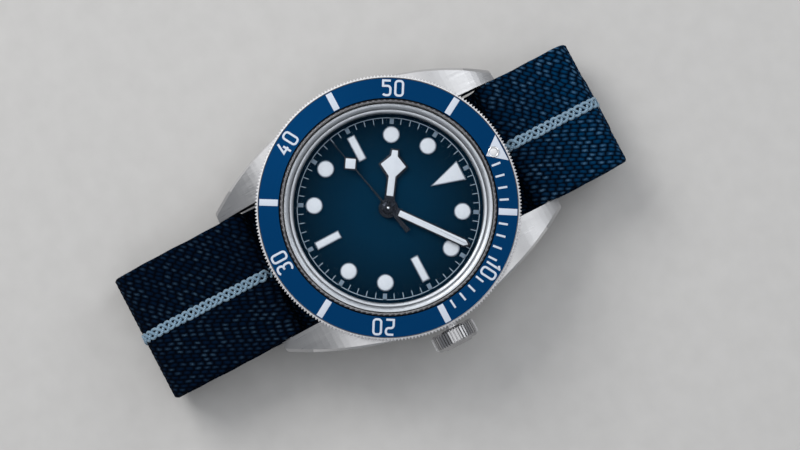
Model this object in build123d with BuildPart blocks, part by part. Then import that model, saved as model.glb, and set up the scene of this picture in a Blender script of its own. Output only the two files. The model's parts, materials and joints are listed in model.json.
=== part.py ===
from build123d import *

import os
from math import cos, pi, radians, sin, sqrt

# Wristwatch: a self-winding diving watch on a one-piece woven strap, lying face up with its
# buckled strap pressed flat beneath it.
#
# Frame: +Z up out of the dial, +Y towards 12 o'clock, +X towards the crown. The origin is on the
# hands' axis, in the flat underside of the fixed keeper that the watch rests on. Millimetres.

os.makedirs("parts", exist_ok=True)


def save(piece, name):
    """Labels a finished piece and writes it as its own file."""
    piece.part.label = name
    export_step(piece.part, f"parts/{name}.step")


# ---------------------------------------------------------------- driving dimensions

BEZEL_R = 19.5            # half of the 39 mm case diameter
BODY_R = 18.9             # round flank of the middle case
LUG_TO_LUG = 46.2
LUG_GAP = 20.1            # between the inner faces of a pair of lugs
STRAP_WIDTH = 19.8
STRAP_THICKNESS = 1.2
GAP = 0.05                # running and resting clearance
DIAL_R = 14.4
DIAL_OPENING_R = 13.95
MOVEMENT_R = 12.8
CROWN_R = 3.45

# Heights. The case back stands on the strap layers, the fold round the buckle's bar and the keeper.
KEEPER_THICKNESS = 0.8
BUCKLE_BAR_R = 0.75
FOLD_BEND = BUCKLE_BAR_R + GAP + STRAP_THICKNESS / 2
TAIL_Z = KEEPER_THICKNESS + GAP + STRAP_THICKNESS / 2
INNER_LAYER_Z = TAIL_Z + STRAP_THICKNESS + GAP
FOLD_LAYER_Z = INNER_LAYER_Z + STRAP_THICKNESS + GAP
BUCKLE_Z = INNER_LAYER_Z + FOLD_BEND
PASS_Z = BUCKLE_Z + FOLD_BEND + STRAP_THICKNESS + 2 * GAP
BACK = PASS_Z + STRAP_THICKNESS / 2 + GAP

CASE_LOW = BACK + 2.0
CASE_TOP = BACK + 6.9
SHOULDER_TOP = BACK + 8.0
NECK_TOP = BACK + 9.6
BEZEL_LOW = BACK + 7.0
BEZEL_TOP = BACK + 10.1
CRYSTAL_LOW = BACK + 8.95
CRYSTAL_RIM = BACK + 10.25
CRYSTAL_TOP = BACK + 11.9
DIAL_LOW = BACK + 6.5
DIAL_TOP = BACK + 6.9
CROWN_Z = BACK + 4.4

# Levels of the movement, from its back towards the dial.
ROTOR_LOW = BACK + 1.15
ROTOR_WEB = BACK + 1.65
ROTOR_HIGH = BACK + 2.3
WINDING_LOW = BACK + 2.4
WINDING_HIGH = BACK + 2.75
BRIDGE_LOW = BACK + 2.8
BRIDGE_HIGH = BACK + 3.7
FOURTH_Z = BACK + 3.8
THIRD_Z = BACK + 4.1
CENTRE_Z = BACK + 4.42
BARREL_Z = BACK + 4.7
PLATE_LOW = BACK + 5.0
PLATE_HIGH = BACK + 6.0
MINUTE_WORK_Z = BACK + 6.03
HOUR_WORK_Z = BACK + 6.27
WHEEL_THICKNESS = 0.18
PINION_THICKNESS = 0.26
BARREL_HIGH = BACK + 5.65

# Hands, from the dial up.
HOUR_HAND_Z = BACK + 7.35
MINUTE_HAND_Z = BACK + 7.75
SECONDS_HAND_Z = BACK + 8.15
HAND_THICKNESS = 0.2
HOUR_ANGLE = 304.4        # clockwise from 12 o'clock, at nearly nine minutes past ten
MINUTE_ANGLE = 52.3
SECONDS_ANGLE = 257.3

# Coaxial tubes at the hands' axis.
SECONDS_ARBOR_R = 0.15
CENTRE_TUBE_R = 0.45
CANNON_R = 0.72
HOUR_TUBE_R = 1.05

# Strap bars and the buckle.
BAR_Y = 21.6
BAR_R = 0.9
BAR_BEND = BAR_R + 0.1 + STRAP_THICKNESS / 2
BAR_Z = BACK + 1.83
PASS_Y = BAR_Y - BAR_BEND
BUCKLE_Y = -8.5


# ---------------------------------------------------------------- shared shapes


def ring(name, outer, inner, low, high):
    """A plain ring about the hands' axis."""
    with BuildPart() as piece:
        with BuildSketch(Plane.XY.offset(low)):
            Circle(outer)
            Circle(inner, mode=Mode.SUBTRACT)
        extrude(amount=high - low)
    save(piece, name)


def turned(name, points):
    """A ring turned about the hands' axis from (radius, height) corners."""
    with BuildPart() as piece:
        with BuildSketch(Plane.XZ):
            Polygon(*points, align=None)
        revolve(axis=Axis.Z)
    save(piece, name)


def tooth_ring(module, teeth, phase):
    """Corners of a toothed outline: each tooth is a trapezoid, with its first one at the phase angle."""
    pitch_r = module * teeth / 2
    tip_r = pitch_r + 0.7 * module
    root_r = pitch_r - module
    step = 360 / teeth
    corners = []
    for tooth in range(teeth):
        middle = phase + tooth * step
        for radius, share in ((root_r, -0.27), (tip_r, -0.11), (tip_r, 0.11), (root_r, 0.27)):
            angle = radians(middle + share * step)
            corners.append((radius * cos(angle), radius * sin(angle)))
    return corners


def disc(centre, radius, low, high, mode=Mode.ADD):
    """A round boss or hole at a point of the movement, made in the part block that calls it."""
    with BuildSketch(Plane.XY.offset(low)) as outline:
        with Locations(centre):
            Circle(radius)
    extrude(outline.sketch, amount=high - low, mode=mode)


def gear(centre, module, teeth, phase, low, high):
    """A toothed wheel, made in the part block that calls it."""
    with BuildSketch(Plane.XY.offset(low)) as outline:
        with Locations(centre):
            Polygon(*tooth_ring(module, teeth, phase), align=None)
    extrude(outline.sketch, amount=high - low)


def crossings(centre, reach, hole_r, count, low, high):
    """Round openings that leave spokes in a wheel, cut in the part block that calls it."""
    with BuildSketch(Plane.XY.offset(low)) as outline:
        with Locations(centre):
            with PolarLocations(reach, count):
                Circle(hole_r)
    extrude(outline.sketch, amount=high - low, mode=Mode.SUBTRACT)


def angle_to(start, end):
    """Direction in degrees from one point of the movement to another."""
    return Vector(1, 0, 0).get_signed_angle(Vector(end[0] - start[0], end[1] - start[1], 0))


def towards(start, distance, angle):
    """The point at a distance and direction from another."""
    return (start[0] + distance * cos(radians(angle)), start[1] + distance * sin(radians(angle)))


# ---------------------------------------------------------------- middle case

NECK_R = 15.95
SHOULDER_R = 17.0
CRYSTAL_SEAT_R = 15.45
DIAL_SEAT_R = 14.5
CAVITY_R = 13.8
BACK_THREAD_R = 14.55
BACK_FLANGE_R = 15.7
TUBE_R = 1.25
LUG_FLANK = ((18.75, 1.0), (17.15, 10.0), (11.78, 22.65))
LUG_CORNER = ((11.6, 22.93), (11.3, 23.05))
LUG_END_Y = LUG_TO_LUG / 2
LUG_TIP_LOW = BACK + 0.6
WIRE_LOW = BACK + 7.4
WIRE_HIGH = BACK + 7.7
WIRE_GROOVE_R = 16.75
CLICK_INNER_R = 17.45
CLICK_OUTER_R = 18.35
CLICK_LOW = BACK + 6.7

with BuildPart() as mid_case:
    # Plan of one quarter of the lugs, mirrored to all four.
    with BuildSketch(Plane.XY.offset(LUG_TIP_LOW)):
        with BuildLine():
            Line((0, 0), (LUG_FLANK[0][0], 0))
            Line((LUG_FLANK[0][0], 0), LUG_FLANK[0])
            ThreePointArc(*LUG_FLANK)
            ThreePointArc(LUG_FLANK[2], LUG_CORNER[0], LUG_CORNER[1])
            Line(LUG_CORNER[1], (LUG_GAP / 2, LUG_END_Y))
            Line((LUG_GAP / 2, LUG_END_Y), (0, LUG_END_Y))
            Line((0, LUG_END_Y), (0, 0))
        make_face()
        mirror(about=Plane.YZ)
        mirror(about=Plane.XZ)
    extrude(amount=CASE_TOP - LUG_TIP_LOW)
    # Side view of the lugs: flat over the dial, then bending down to the wrist.
    with BuildSketch(Plane.YZ.offset(-BEZEL_R)):
        with BuildLine():
            Line((0, CASE_TOP), (9.0, CASE_TOP))
            ThreePointArc((9.0, CASE_TOP), (18.0, BACK + 5.5), (LUG_END_Y, BACK + 2.3))
            Line((LUG_END_Y, BACK + 2.3), (LUG_END_Y, LUG_TIP_LOW + 0.5))
            Line((LUG_END_Y, LUG_TIP_LOW + 0.5), (LUG_END_Y - 0.6, LUG_TIP_LOW))
            ThreePointArc((LUG_END_Y - 0.6, LUG_TIP_LOW), (17.5, BACK + 0.95), (11.5, CASE_LOW))
            Line((11.5, CASE_LOW), (0, CASE_LOW))
            Line((0, CASE_LOW), (0, CASE_TOP))
        make_face()
        mirror(about=Plane.YZ)
    extrude(amount=2 * BEZEL_R, mode=Mode.INTERSECT)
    # The strap passes between the lugs, past the round flank.
    with BuildSketch(Plane.XY.offset(BACK)):
        Rectangle(LUG_GAP, 2 * LUG_END_Y + 1)
        Circle(BODY_R, mode=Mode.SUBTRACT)
    extrude(amount=CASE_TOP - BACK + 1, mode=Mode.SUBTRACT)
    # Round flank, with its lower edge turned away towards the back.
    with BuildSketch(Plane.XZ):
        Polygon(
            (0, CASE_LOW), (17.2, CASE_LOW), (BODY_R, CASE_LOW + 1.2), (BODY_R, CASE_TOP),
            (SHOULDER_R, CASE_TOP), (SHOULDER_R, SHOULDER_TOP), (NECK_R, SHOULDER_TOP),
            (NECK_R, NECK_TOP), (0, NECK_TOP), align=None,
        )
    revolve(axis=Axis.Z)
    # Cavity for the back, the movement, the dial, the flange ring and the crystal.
    with BuildSketch(Plane.XZ):
        Polygon(
            (0, BACK), (BACK_FLANGE_R + 0.15, BACK), (BACK_FLANGE_R + 0.15, CASE_LOW),
            (BACK_THREAD_R, CASE_LOW), (BACK_THREAD_R, BACK + 2.95), (CAVITY_R, BACK + 2.95),
            (CAVITY_R, DIAL_LOW - GAP), (DIAL_SEAT_R, DIAL_LOW - GAP), (DIAL_SEAT_R, DIAL_TOP),
            (15.3, DIAL_TOP), (15.3, CRYSTAL_LOW - GAP), (CRYSTAL_SEAT_R, CRYSTAL_LOW - GAP),
            (CRYSTAL_SEAT_R, NECK_TOP + 1), (0, NECK_TOP + 1), align=None,
        )
    revolve(axis=Axis.Z, mode=Mode.SUBTRACT)
    # Grooves for the back's gasket, the bezel's retaining wire and its click spring.
    with BuildSketch(Plane.XZ):
        with Locations((15.15, CASE_LOW)):
            Rectangle(0.5, 0.6)
        with Locations((WIRE_GROOVE_R, WIRE_LOW)):
            Rectangle(1.0, WIRE_HIGH - WIRE_LOW, align=(Align.MIN, Align.MIN))
        with Locations((CLICK_INNER_R - GAP, CLICK_LOW)):
            Rectangle(CLICK_OUTER_R - CLICK_INNER_R + 2 * GAP, 1, align=(Align.MIN, Align.MIN))
    revolve(axis=Axis.Z, mode=Mode.SUBTRACT)
    # Hole for the crown tube, and blind holes for the tips of the strap bars.
    with BuildSketch(Plane.YZ.offset(CAVITY_R - 1)):
        with Locations((0, CROWN_Z)):
            Circle(TUBE_R)
    extrude(amount=BODY_R, mode=Mode.SUBTRACT)
    with BuildSketch(Plane.YZ.offset(-LUG_GAP / 2 - 1.2)):
        with Locations((BAR_Y, BAR_Z), (-BAR_Y, BAR_Z)):
            Circle(0.45)
    extrude(amount=LUG_GAP + 2.4, mode=Mode.SUBTRACT)
save(mid_case, "mid_case")

# Screwed case back: a shallow dished disc with tool notches round its edge.
NOTCHES = 6
with BuildPart() as case_back:
    with BuildSketch(Plane.XZ):
        Polygon(
            (0, BACK), (13.0, BACK), (15.4, BACK + 0.5), (BACK_FLANGE_R, BACK + 1.0),
            (BACK_FLANGE_R, CASE_LOW - 0.02),
            (14.5, CASE_LOW - 0.02), (14.5, BACK + 2.9), (13.5, BACK + 2.9), (13.5, BACK + 0.95),
            (0, BACK + 0.95), align=None,
        )
    revolve(axis=Axis.Z)
    with BuildSketch(Plane.XY.offset(BACK - GAP)):
        with PolarLocations(15.2, NOTCHES, start_angle=30):
            Rectangle(2.4, 2.2)
    extrude(amount=0.75, mode=Mode.SUBTRACT)
save(case_back, "case_back")

ring("case_back_gasket", 15.38, 14.92, CASE_LOW, CASE_LOW + 0.28)

# Ring that holds the movement in the case, with a hole for the stem.
with BuildPart() as movement_ring:
    with BuildSketch(Plane.XY.offset(BACK + 2.97)):
        Circle(CAVITY_R - 0.02)
        Circle(MOVEMENT_R + 0.02, mode=Mode.SUBTRACT)
    extrude(amount=DIAL_LOW - 0.1 - BACK - 2.97)
    with BuildSketch(Plane.YZ.offset(MOVEMENT_R - 1)):
        with Locations((0, CROWN_Z)):
            Circle(0.8)
    extrude(amount=2, mode=Mode.SUBTRACT)
save(movement_ring, "movement_ring")

# ---------------------------------------------------------------- bezel

TEETH = 240               # coin edge: two teeth to each of the 120 clicks
CLICKS = 120
COIN_ROOT_R = 19.12
INSERT_INNER_R = 16.0
INSERT_OUTER_R = 18.92
INSERT_DROP = 0.35        # the insert falls away towards its outer edge
INSERT_THICKNESS = 0.4
SEAT_Z = BEZEL_TOP - INSERT_THICKNESS - 0.02
LIP_R = 15.52
LIP_OUTER_R = 15.8         # a fine groove parts the lip from the insert


def coin_edge():
    """Corners of the coin edge: a zigzag between its root and tip radii."""
    corners = []
    for tooth in range(TEETH):
        for radius, share in ((COIN_ROOT_R, 0.0), (BEZEL_R, 0.5)):
            angle = radians((tooth + share) * 360 / TEETH)
            corners.append((radius * cos(angle), radius * sin(angle)))
    return corners


with BuildPart() as bezel_ring:
    with BuildSketch(Plane.XY.offset(BEZEL_LOW)):
        Polygon(*coin_edge(), align=None)
    extrude(amount=BEZEL_TOP - BEZEL_LOW)
    with BuildSketch(Plane.XZ):
        Polygon(
            (NECK_R + GAP, SHOULDER_TOP + GAP), (NECK_R + GAP, NECK_TOP + GAP), (LIP_R, NECK_TOP + GAP),
            (LIP_R, BEZEL_TOP), (LIP_OUTER_R, BEZEL_TOP), (LIP_OUTER_R, BEZEL_TOP - 0.28),
            (INSERT_INNER_R - 0.02, BEZEL_TOP - 0.28), (INSERT_INNER_R - 0.02, SEAT_Z),
            (INSERT_OUTER_R + 0.02, SEAT_Z - INSERT_DROP), (INSERT_OUTER_R + 0.02, BEZEL_TOP - INSERT_DROP),
            (19.08, BEZEL_TOP - INSERT_DROP), (BEZEL_R + 0.1, BACK + 9.3), (BEZEL_R + 0.1, BACK + 7.6),
            (19.0, BEZEL_LOW),
            (SHOULDER_R + GAP, BEZEL_LOW), (SHOULDER_R + GAP, WIRE_LOW), (17.4, WIRE_LOW),
            (17.4, WIRE_HIGH), (SHOULDER_R + GAP, WIRE_HIGH), (SHOULDER_R + GAP, SHOULDER_TOP + GAP),
            align=None,
        )
    revolve(axis=Axis.Z, mode=Mode.INTERSECT)
    # Click notches under the bezel, one to each half minute.
    with BuildSketch(Plane.XY.offset(BEZEL_LOW)):
        with PolarLocations((CLICK_INNER_R + CLICK_OUTER_R) / 2, CLICKS):
            Rectangle(0.75, 0.5)
    extrude(amount=0.25, mode=Mode.SUBTRACT)
save(bezel_ring, "bezel_ring")

# Pearl at the bezel's zero: a luminous dot in a small steel cup set in the insert.
PEARL_Y = 17.35
PEARL_R = 0.85
with BuildPart() as bezel_insert:
    with BuildSketch(Plane.XZ):
        Polygon(
            (INSERT_INNER_R, BEZEL_TOP - INSERT_THICKNESS), (INSERT_INNER_R, BEZEL_TOP),
            (INSERT_OUTER_R, BEZEL_TOP - INSERT_DROP),
            (INSERT_OUTER_R, BEZEL_TOP - INSERT_THICKNESS - INSERT_DROP), align=None,
        )
    revolve(axis=Axis.Z)
    disc((0, PEARL_Y), PEARL_R, BEZEL_TOP - 1, BEZEL_TOP + 1, mode=Mode.SUBTRACT)
save(bezel_insert, "bezel_insert")

PEARL_LOW = BEZEL_TOP - 0.42
with BuildPart() as bezel_pearl:
    disc((0, PEARL_Y), PEARL_R - 0.02, PEARL_LOW, BEZEL_TOP)
    fillet(bezel_pearl.faces().sort_by(Axis.Z)[-1].edges(), 0.2)
save(bezel_pearl, "bezel_pearl")

# Click spring: a flat ring in the case, with tabs that stand up into the notches.
with BuildPart() as bezel_click_spring:
    with BuildSketch(Plane.XY.offset(CLICK_LOW)):
        Circle(CLICK_OUTER_R)
        Circle(CLICK_INNER_R, mode=Mode.SUBTRACT)
    extrude(amount=0.2)
    with BuildSketch(Plane.XY.offset(CLICK_LOW)):
        with PolarLocations((CLICK_INNER_R + CLICK_OUTER_R) / 2, 3):
            Rectangle(0.5, 0.3)
    extrude(amount=BEZEL_LOW + 0.12 - CLICK_LOW)
save(bezel_click_spring, "bezel_click_spring")

ring("bezel_retaining_wire", SHOULDER_R + 0.3, WIRE_GROOVE_R + GAP, WIRE_LOW + GAP, WIRE_HIGH - GAP)

# ---------------------------------------------------------------- crystal, flange and dial

CRYSTAL_R = 15.28
turned("flange_ring", [(DIAL_OPENING_R, DIAL_TOP), (15.25, DIAL_TOP), (15.25, CRYSTAL_LOW - 0.02),
                       (15.0, CRYSTAL_LOW - 0.02)])
ring("crystal_gasket", CRYSTAL_SEAT_R - 0.01, CRYSTAL_R + 0.01, CRYSTAL_LOW, CRYSTAL_LOW + 0.95)

CRYSTAL_EDGE_R = 14.9
HOLLOW_R = 14.2
HOLLOW_RISE = 1.55
BEVEL = 0.36


def ball_radius(reach, rise):
    """Radius of the ball whose cap has a given reach and rise."""
    return (reach**2 + rise**2) / (2 * rise)


DOME_R = ball_radius(CRYSTAL_EDGE_R, CRYSTAL_TOP - CRYSTAL_RIM)
HOLLOW_BALL_R = ball_radius(HOLLOW_R, HOLLOW_RISE)

with BuildPart() as crystal:
    # The edge is bevelled at 45 degrees below the dome.
    with BuildSketch(Plane.XZ):
        Polygon(
            (0, CRYSTAL_LOW), (CRYSTAL_R, CRYSTAL_LOW), (CRYSTAL_R, CRYSTAL_RIM - BEVEL),
            (CRYSTAL_R - 5 * BEVEL, CRYSTAL_RIM + 4 * BEVEL), (0, CRYSTAL_RIM + 5 * BEVEL), align=None,
        )
    revolve(axis=Axis.Z)
    with Locations((0, 0, CRYSTAL_TOP - DOME_R)):
        Sphere(DOME_R, mode=Mode.INTERSECT)
    with Locations((0, 0, CRYSTAL_LOW + HOLLOW_RISE - HOLLOW_BALL_R)):
        Sphere(HOLLOW_BALL_R, mode=Mode.SUBTRACT)
save(crystal, "crystal")

MARKER_LOW = DIAL_TOP
MARKER_RIM_TOP = DIAL_TOP + 0.24
MARKER_LUME_TOP = DIAL_TOP + 0.2
RIM_WIDTH = 0.16
DOT_R = 1.27
DOT_REACH = 10.9
DOT_HOURS = (1, 2, 4, 5, 7, 8, 10, 11)
BATON_HOURS = (3, 6, 9)
BATON_LENGTH = 4.0
BATON_WIDTH = 1.28
BATON_REACH = 10.0
TRIANGLE_APEX_Y = 6.95
TRIANGLE_BASE_Y = 12.15
TRIANGLE_WIDTH = 3.2

with BuildPart() as dial:
    disc((0, 0), DIAL_R, DIAL_LOW, DIAL_TOP)
    disc((0, 0), 1.2, DIAL_LOW, DIAL_TOP, mode=Mode.SUBTRACT)
save(dial, "dial")


def hour_marks(inset):
    """Outlines of the twelve round, baton and triangular marks, drawn in from their edges by an inset."""
    for hour in DOT_HOURS:
        with Locations(towards((0, 0), DOT_REACH, 90 - 30 * hour)):
            Circle(DOT_R - inset)
    for hour in BATON_HOURS:
        with Locations(towards((0, 0), BATON_REACH, 90 - 30 * hour)):
            Rectangle(BATON_LENGTH - 2 * inset, BATON_WIDTH - 2 * inset, rotation=-30 * hour + 90)
    # Insetting a triangle moves its apex in by the inset times its side over half its base.
    half = TRIANGLE_WIDTH / 2
    height = TRIANGLE_BASE_Y - TRIANGLE_APEX_Y
    apex = TRIANGLE_APEX_Y + inset * sqrt(half**2 + height**2) / half
    base = TRIANGLE_BASE_Y - inset
    inner_half = half * (base - apex) / height
    Polygon((0, apex), (inner_half, base), (-inner_half, base), align=None)


with BuildPart() as marker_rims:
    with BuildSketch(Plane.XY.offset(MARKER_LOW)):
        hour_marks(0)
    extrude(amount=MARKER_RIM_TOP - MARKER_LOW)
    with BuildSketch(Plane.XY.offset(MARKER_LOW)):
        hour_marks(RIM_WIDTH)
    extrude(amount=1, mode=Mode.SUBTRACT)
save(marker_rims, "hour_marker_rims")

with BuildPart() as marker_lume:
    with BuildSketch(Plane.XY.offset(MARKER_LOW)):
        hour_marks(RIM_WIDTH)
    extrude(amount=MARKER_LUME_TOP - MARKER_LOW)
save(marker_lume, "hour_marker_lume")

# ---------------------------------------------------------------- hands


def hand_plane(clockwise, height):
    """Plane at a hand's underside whose x axis runs along the hand."""
    angle = radians(90 - clockwise)
    return Plane(origin=(0, 0, height), x_dir=(cos(angle), sin(angle), 0), z_dir=(0, 0, 1))


# Half outlines along the hand: distance from the axis, half width.
HOUR_BLADE = ((1.2, 0.78), (4.45, 0.78), (6.35, 2.25), (7.95, 0.72), (8.85, 0.66))
HOUR_LUME = ((1.85, 0.5), (4.75, 0.5), (6.35, 1.86), (7.75, 0.48), (8.6, 0.42))
MINUTE_BLADE = ((0.9, 0.66), (12.4, 0.66), (13.35, 0.0))
MINUTE_LUME = ((1.75, 0.44), (12.25, 0.44), (12.8, 0.0))


def blade(half_outline):
    """A hand's outline, mirrored about its own length."""
    lower = [(x, -y) for x, y in reversed(half_outline) if y > 0]
    Polygon(*half_outline, *lower, align=None)


def hand(name, clockwise, low, outline, window, hub_r, bore_r):
    """A hand with an open window, and beside it the luminous filling that lies in the window."""
    with BuildPart() as metal:
        with BuildSketch(hand_plane(clockwise, low)):
            blade(outline)
            Circle(hub_r)
            Circle(bore_r, mode=Mode.SUBTRACT)
        extrude(amount=HAND_THICKNESS)
        with BuildSketch(hand_plane(clockwise, low)):
            blade(window)
        extrude(amount=HAND_THICKNESS, mode=Mode.SUBTRACT)
    save(metal, name)
    with BuildPart() as lume:
        with BuildSketch(hand_plane(clockwise, low)):
            blade(window)
        extrude(amount=HAND_THICKNESS - 0.04)
    save(lume, f"{name}_lume")


hand("hour_hand", HOUR_ANGLE, HOUR_HAND_Z, HOUR_BLADE, HOUR_LUME, 1.45, HOUR_TUBE_R)
hand("minute_hand", MINUTE_ANGLE, MINUTE_HAND_Z, MINUTE_BLADE, MINUTE_LUME, 1.2, CANNON_R)

# Seconds hand: a fine needle with a square luminous plot set cornerwise, and a flared tail.
SQUARE_REACH = 8.55
SQUARE_SIDE = 1.9
SECONDS_TIP = 13.4
SECONDS_TAIL = 4.5
with BuildPart() as seconds_hand:
    with BuildSketch(hand_plane(SECONDS_ANGLE, SECONDS_HAND_Z)):
        Polygon((0, 0.2), (SECONDS_TIP, 0.07), (SECONDS_TIP, -0.07), (0, -0.2), align=None)
        Polygon((0, 0.22), (-SECONDS_TAIL, 0.42), (-SECONDS_TAIL, -0.42), (0, -0.22), align=None)
        with Locations((SQUARE_REACH, 0)):
            Rectangle(SQUARE_SIDE, SQUARE_SIDE, rotation=45)
        Circle(0.95)
    extrude(amount=HAND_THICKNESS)
    # Boss that grips the arbor from above.
    disc((0, 0), 0.4, SECONDS_HAND_Z, SECONDS_HAND_Z + 0.4)
    disc((0, 0), SECONDS_ARBOR_R, SECONDS_HAND_Z, SECONDS_HAND_Z + 1, mode=Mode.SUBTRACT)
    with BuildSketch(hand_plane(SECONDS_ANGLE, SECONDS_HAND_Z)):
        with Locations((SQUARE_REACH, 0)):
            Rectangle(SQUARE_SIDE - 0.4, SQUARE_SIDE - 0.4, rotation=45)
    extrude(amount=HAND_THICKNESS, mode=Mode.SUBTRACT)
save(seconds_hand, "seconds_hand")

with BuildPart() as seconds_lume:
    with BuildSketch(hand_plane(SECONDS_ANGLE, SECONDS_HAND_Z)):
        with Locations((SQUARE_REACH, 0)):
            Rectangle(SQUARE_SIDE - 0.4, SQUARE_SIDE - 0.4, rotation=45)
    extrude(amount=HAND_THICKNESS - 0.04)
save(seconds_lume, "seconds_hand_lume")

# ---------------------------------------------------------------- wheel train

CENTRE = (0, 0)
CENTRE_TEETH, THIRD_PINION, CENTRE_MODULE = 80, 10, 0.1
THIRD_TEETH, FOURTH_PINION = 75, 10
FOURTH_TEETH, ESCAPE_PINION, FOURTH_MODULE = 80, 8, 0.08
BARREL_TEETH, CENTRE_PINION, BARREL_MODULE = 80, 10, 0.12
CANNON_TEETH, MINUTE_TEETH, CANNON_MODULE = 12, 36, 0.1
MINUTE_PINION, HOUR_TEETH = 10, 40

THIRD_DISTANCE = CENTRE_MODULE * (CENTRE_TEETH + THIRD_PINION) / 2
THIRD_MODULE = 2 * THIRD_DISTANCE / (THIRD_TEETH + FOURTH_PINION)
THIRD = towards(CENTRE, THIRD_DISTANCE, 150)
ESCAPE = towards(CENTRE, FOURTH_MODULE * (FOURTH_TEETH + ESCAPE_PINION) / 2, -70)
PALLET = towards(ESCAPE, 2.75, -100)
BALANCE = towards(PALLET, 3.0, -100)
BARREL = towards(CENTRE, BARREL_MODULE * (BARREL_TEETH + CENTRE_PINION) / 2, 53.6)
MINUTE_DISTANCE = CANNON_MODULE * (CANNON_TEETH + MINUTE_TEETH) / 2
HOUR_MODULE = 2 * MINUTE_DISTANCE / (MINUTE_PINION + HOUR_TEETH)
MINUTE_POST = towards(CENTRE, MINUTE_DISTANCE, -20)

PIVOT_R = 0.12
JEWEL_HOLE_R = PIVOT_R + GAP
JEWEL_R = 0.6
BARREL_ARBOR_R = 0.55


def gap_phase(driver, driven, teeth):
    """Phase that puts a tooth gap of the driven wheel against the driver's tooth."""
    return angle_to(driven, driver) + 180 / teeth


with BuildPart() as centre_wheel:
    gear(CENTRE, CENTRE_MODULE, CENTRE_TEETH, angle_to(CENTRE, THIRD), CENTRE_Z, CENTRE_Z + WHEEL_THICKNESS)
    crossings(CENTRE, 2.2, 1.0, 5, CENTRE_Z, CENTRE_Z + WHEEL_THICKNESS)
    gear(CENTRE, BARREL_MODULE, CENTRE_PINION, gap_phase(BARREL, CENTRE, CENTRE_PINION),
         CENTRE_Z + WHEEL_THICKNESS, PLATE_LOW - GAP)
    disc(CENTRE, CENTRE_TUBE_R, CENTRE_Z, MINUTE_HAND_Z)
    disc(CENTRE, SECONDS_ARBOR_R + GAP, CENTRE_Z, MINUTE_HAND_Z, mode=Mode.SUBTRACT)
save(centre_wheel, "centre_wheel")

with BuildPart() as third_wheel:
    gear(THIRD, THIRD_MODULE, THIRD_TEETH, angle_to(THIRD, CENTRE), THIRD_Z, THIRD_Z + WHEEL_THICKNESS)
    crossings(THIRD, 2.2, 1.0, 5, THIRD_Z, THIRD_Z + WHEEL_THICKNESS)
    gear(THIRD, CENTRE_MODULE, THIRD_PINION, gap_phase(CENTRE, THIRD, THIRD_PINION),
         THIRD_Z + WHEEL_THICKNESS, CENTRE_Z + PINION_THICKNESS)
    disc(THIRD, PIVOT_R, BRIDGE_LOW + 0.2, PLATE_HIGH - 0.3)
save(third_wheel, "third_wheel")

with BuildPart() as fourth_wheel:
    gear(CENTRE, FOURTH_MODULE, FOURTH_TEETH, angle_to(CENTRE, ESCAPE), FOURTH_Z, FOURTH_Z + WHEEL_THICKNESS)
    crossings(CENTRE, 1.8, 0.8, 5, FOURTH_Z, FOURTH_Z + WHEEL_THICKNESS)
    gear(CENTRE, THIRD_MODULE, FOURTH_PINION, gap_phase(THIRD, CENTRE, FOURTH_PINION),
         FOURTH_Z + WHEEL_THICKNESS, THIRD_Z + PINION_THICKNESS)
    disc(CENTRE, PIVOT_R, BRIDGE_LOW + 0.2, FOURTH_Z + WHEEL_THICKNESS)
    disc(CENTRE, SECONDS_ARBOR_R, FOURTH_Z, SECONDS_HAND_Z + 0.35)
save(fourth_wheel, "fourth_wheel")

# Escape wheel: pointed teeth that lean forwards.
ESCAPE_TEETH = 20
ESCAPE_TIP_R = 2.2
with BuildPart() as escape_wheel:
    with BuildSketch(Plane.XY.offset(THIRD_Z)):
        with Locations(ESCAPE):
            Circle(1.6)
            with PolarLocations(0, ESCAPE_TEETH):
                Polygon((1.5, -0.22), (ESCAPE_TIP_R, 0.02), (ESCAPE_TIP_R, 0.1), (1.5, 0.16), align=None)
    extrude(amount=WHEEL_THICKNESS)
    crossings(ESCAPE, 1.0, 0.42, 4, THIRD_Z, THIRD_Z + WHEEL_THICKNESS)
    gear(ESCAPE, FOURTH_MODULE, ESCAPE_PINION, gap_phase(CENTRE, ESCAPE, ESCAPE_PINION),
         FOURTH_Z - GAP, THIRD_Z)
    disc(ESCAPE, PIVOT_R, BRIDGE_LOW + 0.2, PLATE_HIGH - 0.3)
save(escape_wheel, "escape_wheel")

# Pallet fork: two arms that hold the pallet stones against the escape wheel, and a forked lever.
with BuildPart() as pallet_fork:
    with BuildSketch(Plane.XY.offset(THIRD_Z)):
        with Locations(Location((PALLET[0], PALLET[1], 0), (0, 0, 80))):
            Circle(0.4)
            Polygon((0, -0.2), (0.28, -1.75), (0.75, -1.6), (0.35, 0.0), align=None)
            Polygon((0, 0.2), (0.28, 1.75), (0.75, 1.6), (0.35, 0.0), align=None)
            Polygon((0, 0.16), (-1.7, 0.14), (-1.9, 0.4), (-2.2, 0.32), (-2.05, 0.14), (-2.05, -0.14),
                    (-2.2, -0.32), (-1.9, -0.4), (-1.7, -0.14), (0, -0.16), align=None)
    extrude(amount=WHEEL_THICKNESS)
    disc(PALLET, PIVOT_R, BRIDGE_HIGH + 0.1, PLATE_HIGH - 0.3)
save(pallet_fork, "pallet_fork")

# Balance: a heavy rim on two arms, its staff, and the roller that meets the fork.
BALANCE_R = 3.6
BALANCE_Z = BACK + 3.3
with BuildPart() as balance_wheel:
    with BuildSketch(Plane.XY.offset(BALANCE_Z)):
        with Locations(BALANCE):
            Circle(BALANCE_R)
            Circle(BALANCE_R - 0.4, mode=Mode.SUBTRACT)
            Rectangle(2 * BALANCE_R - 0.4, 0.5)
            Circle(0.6)
    extrude(amount=0.32)
    disc(BALANCE, PIVOT_R, BACK + 2.55, PLATE_HIGH - 0.3)
    disc(BALANCE, 0.5, THIRD_Z - 0.12, THIRD_Z + 0.12)
save(balance_wheel, "balance_wheel")

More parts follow.
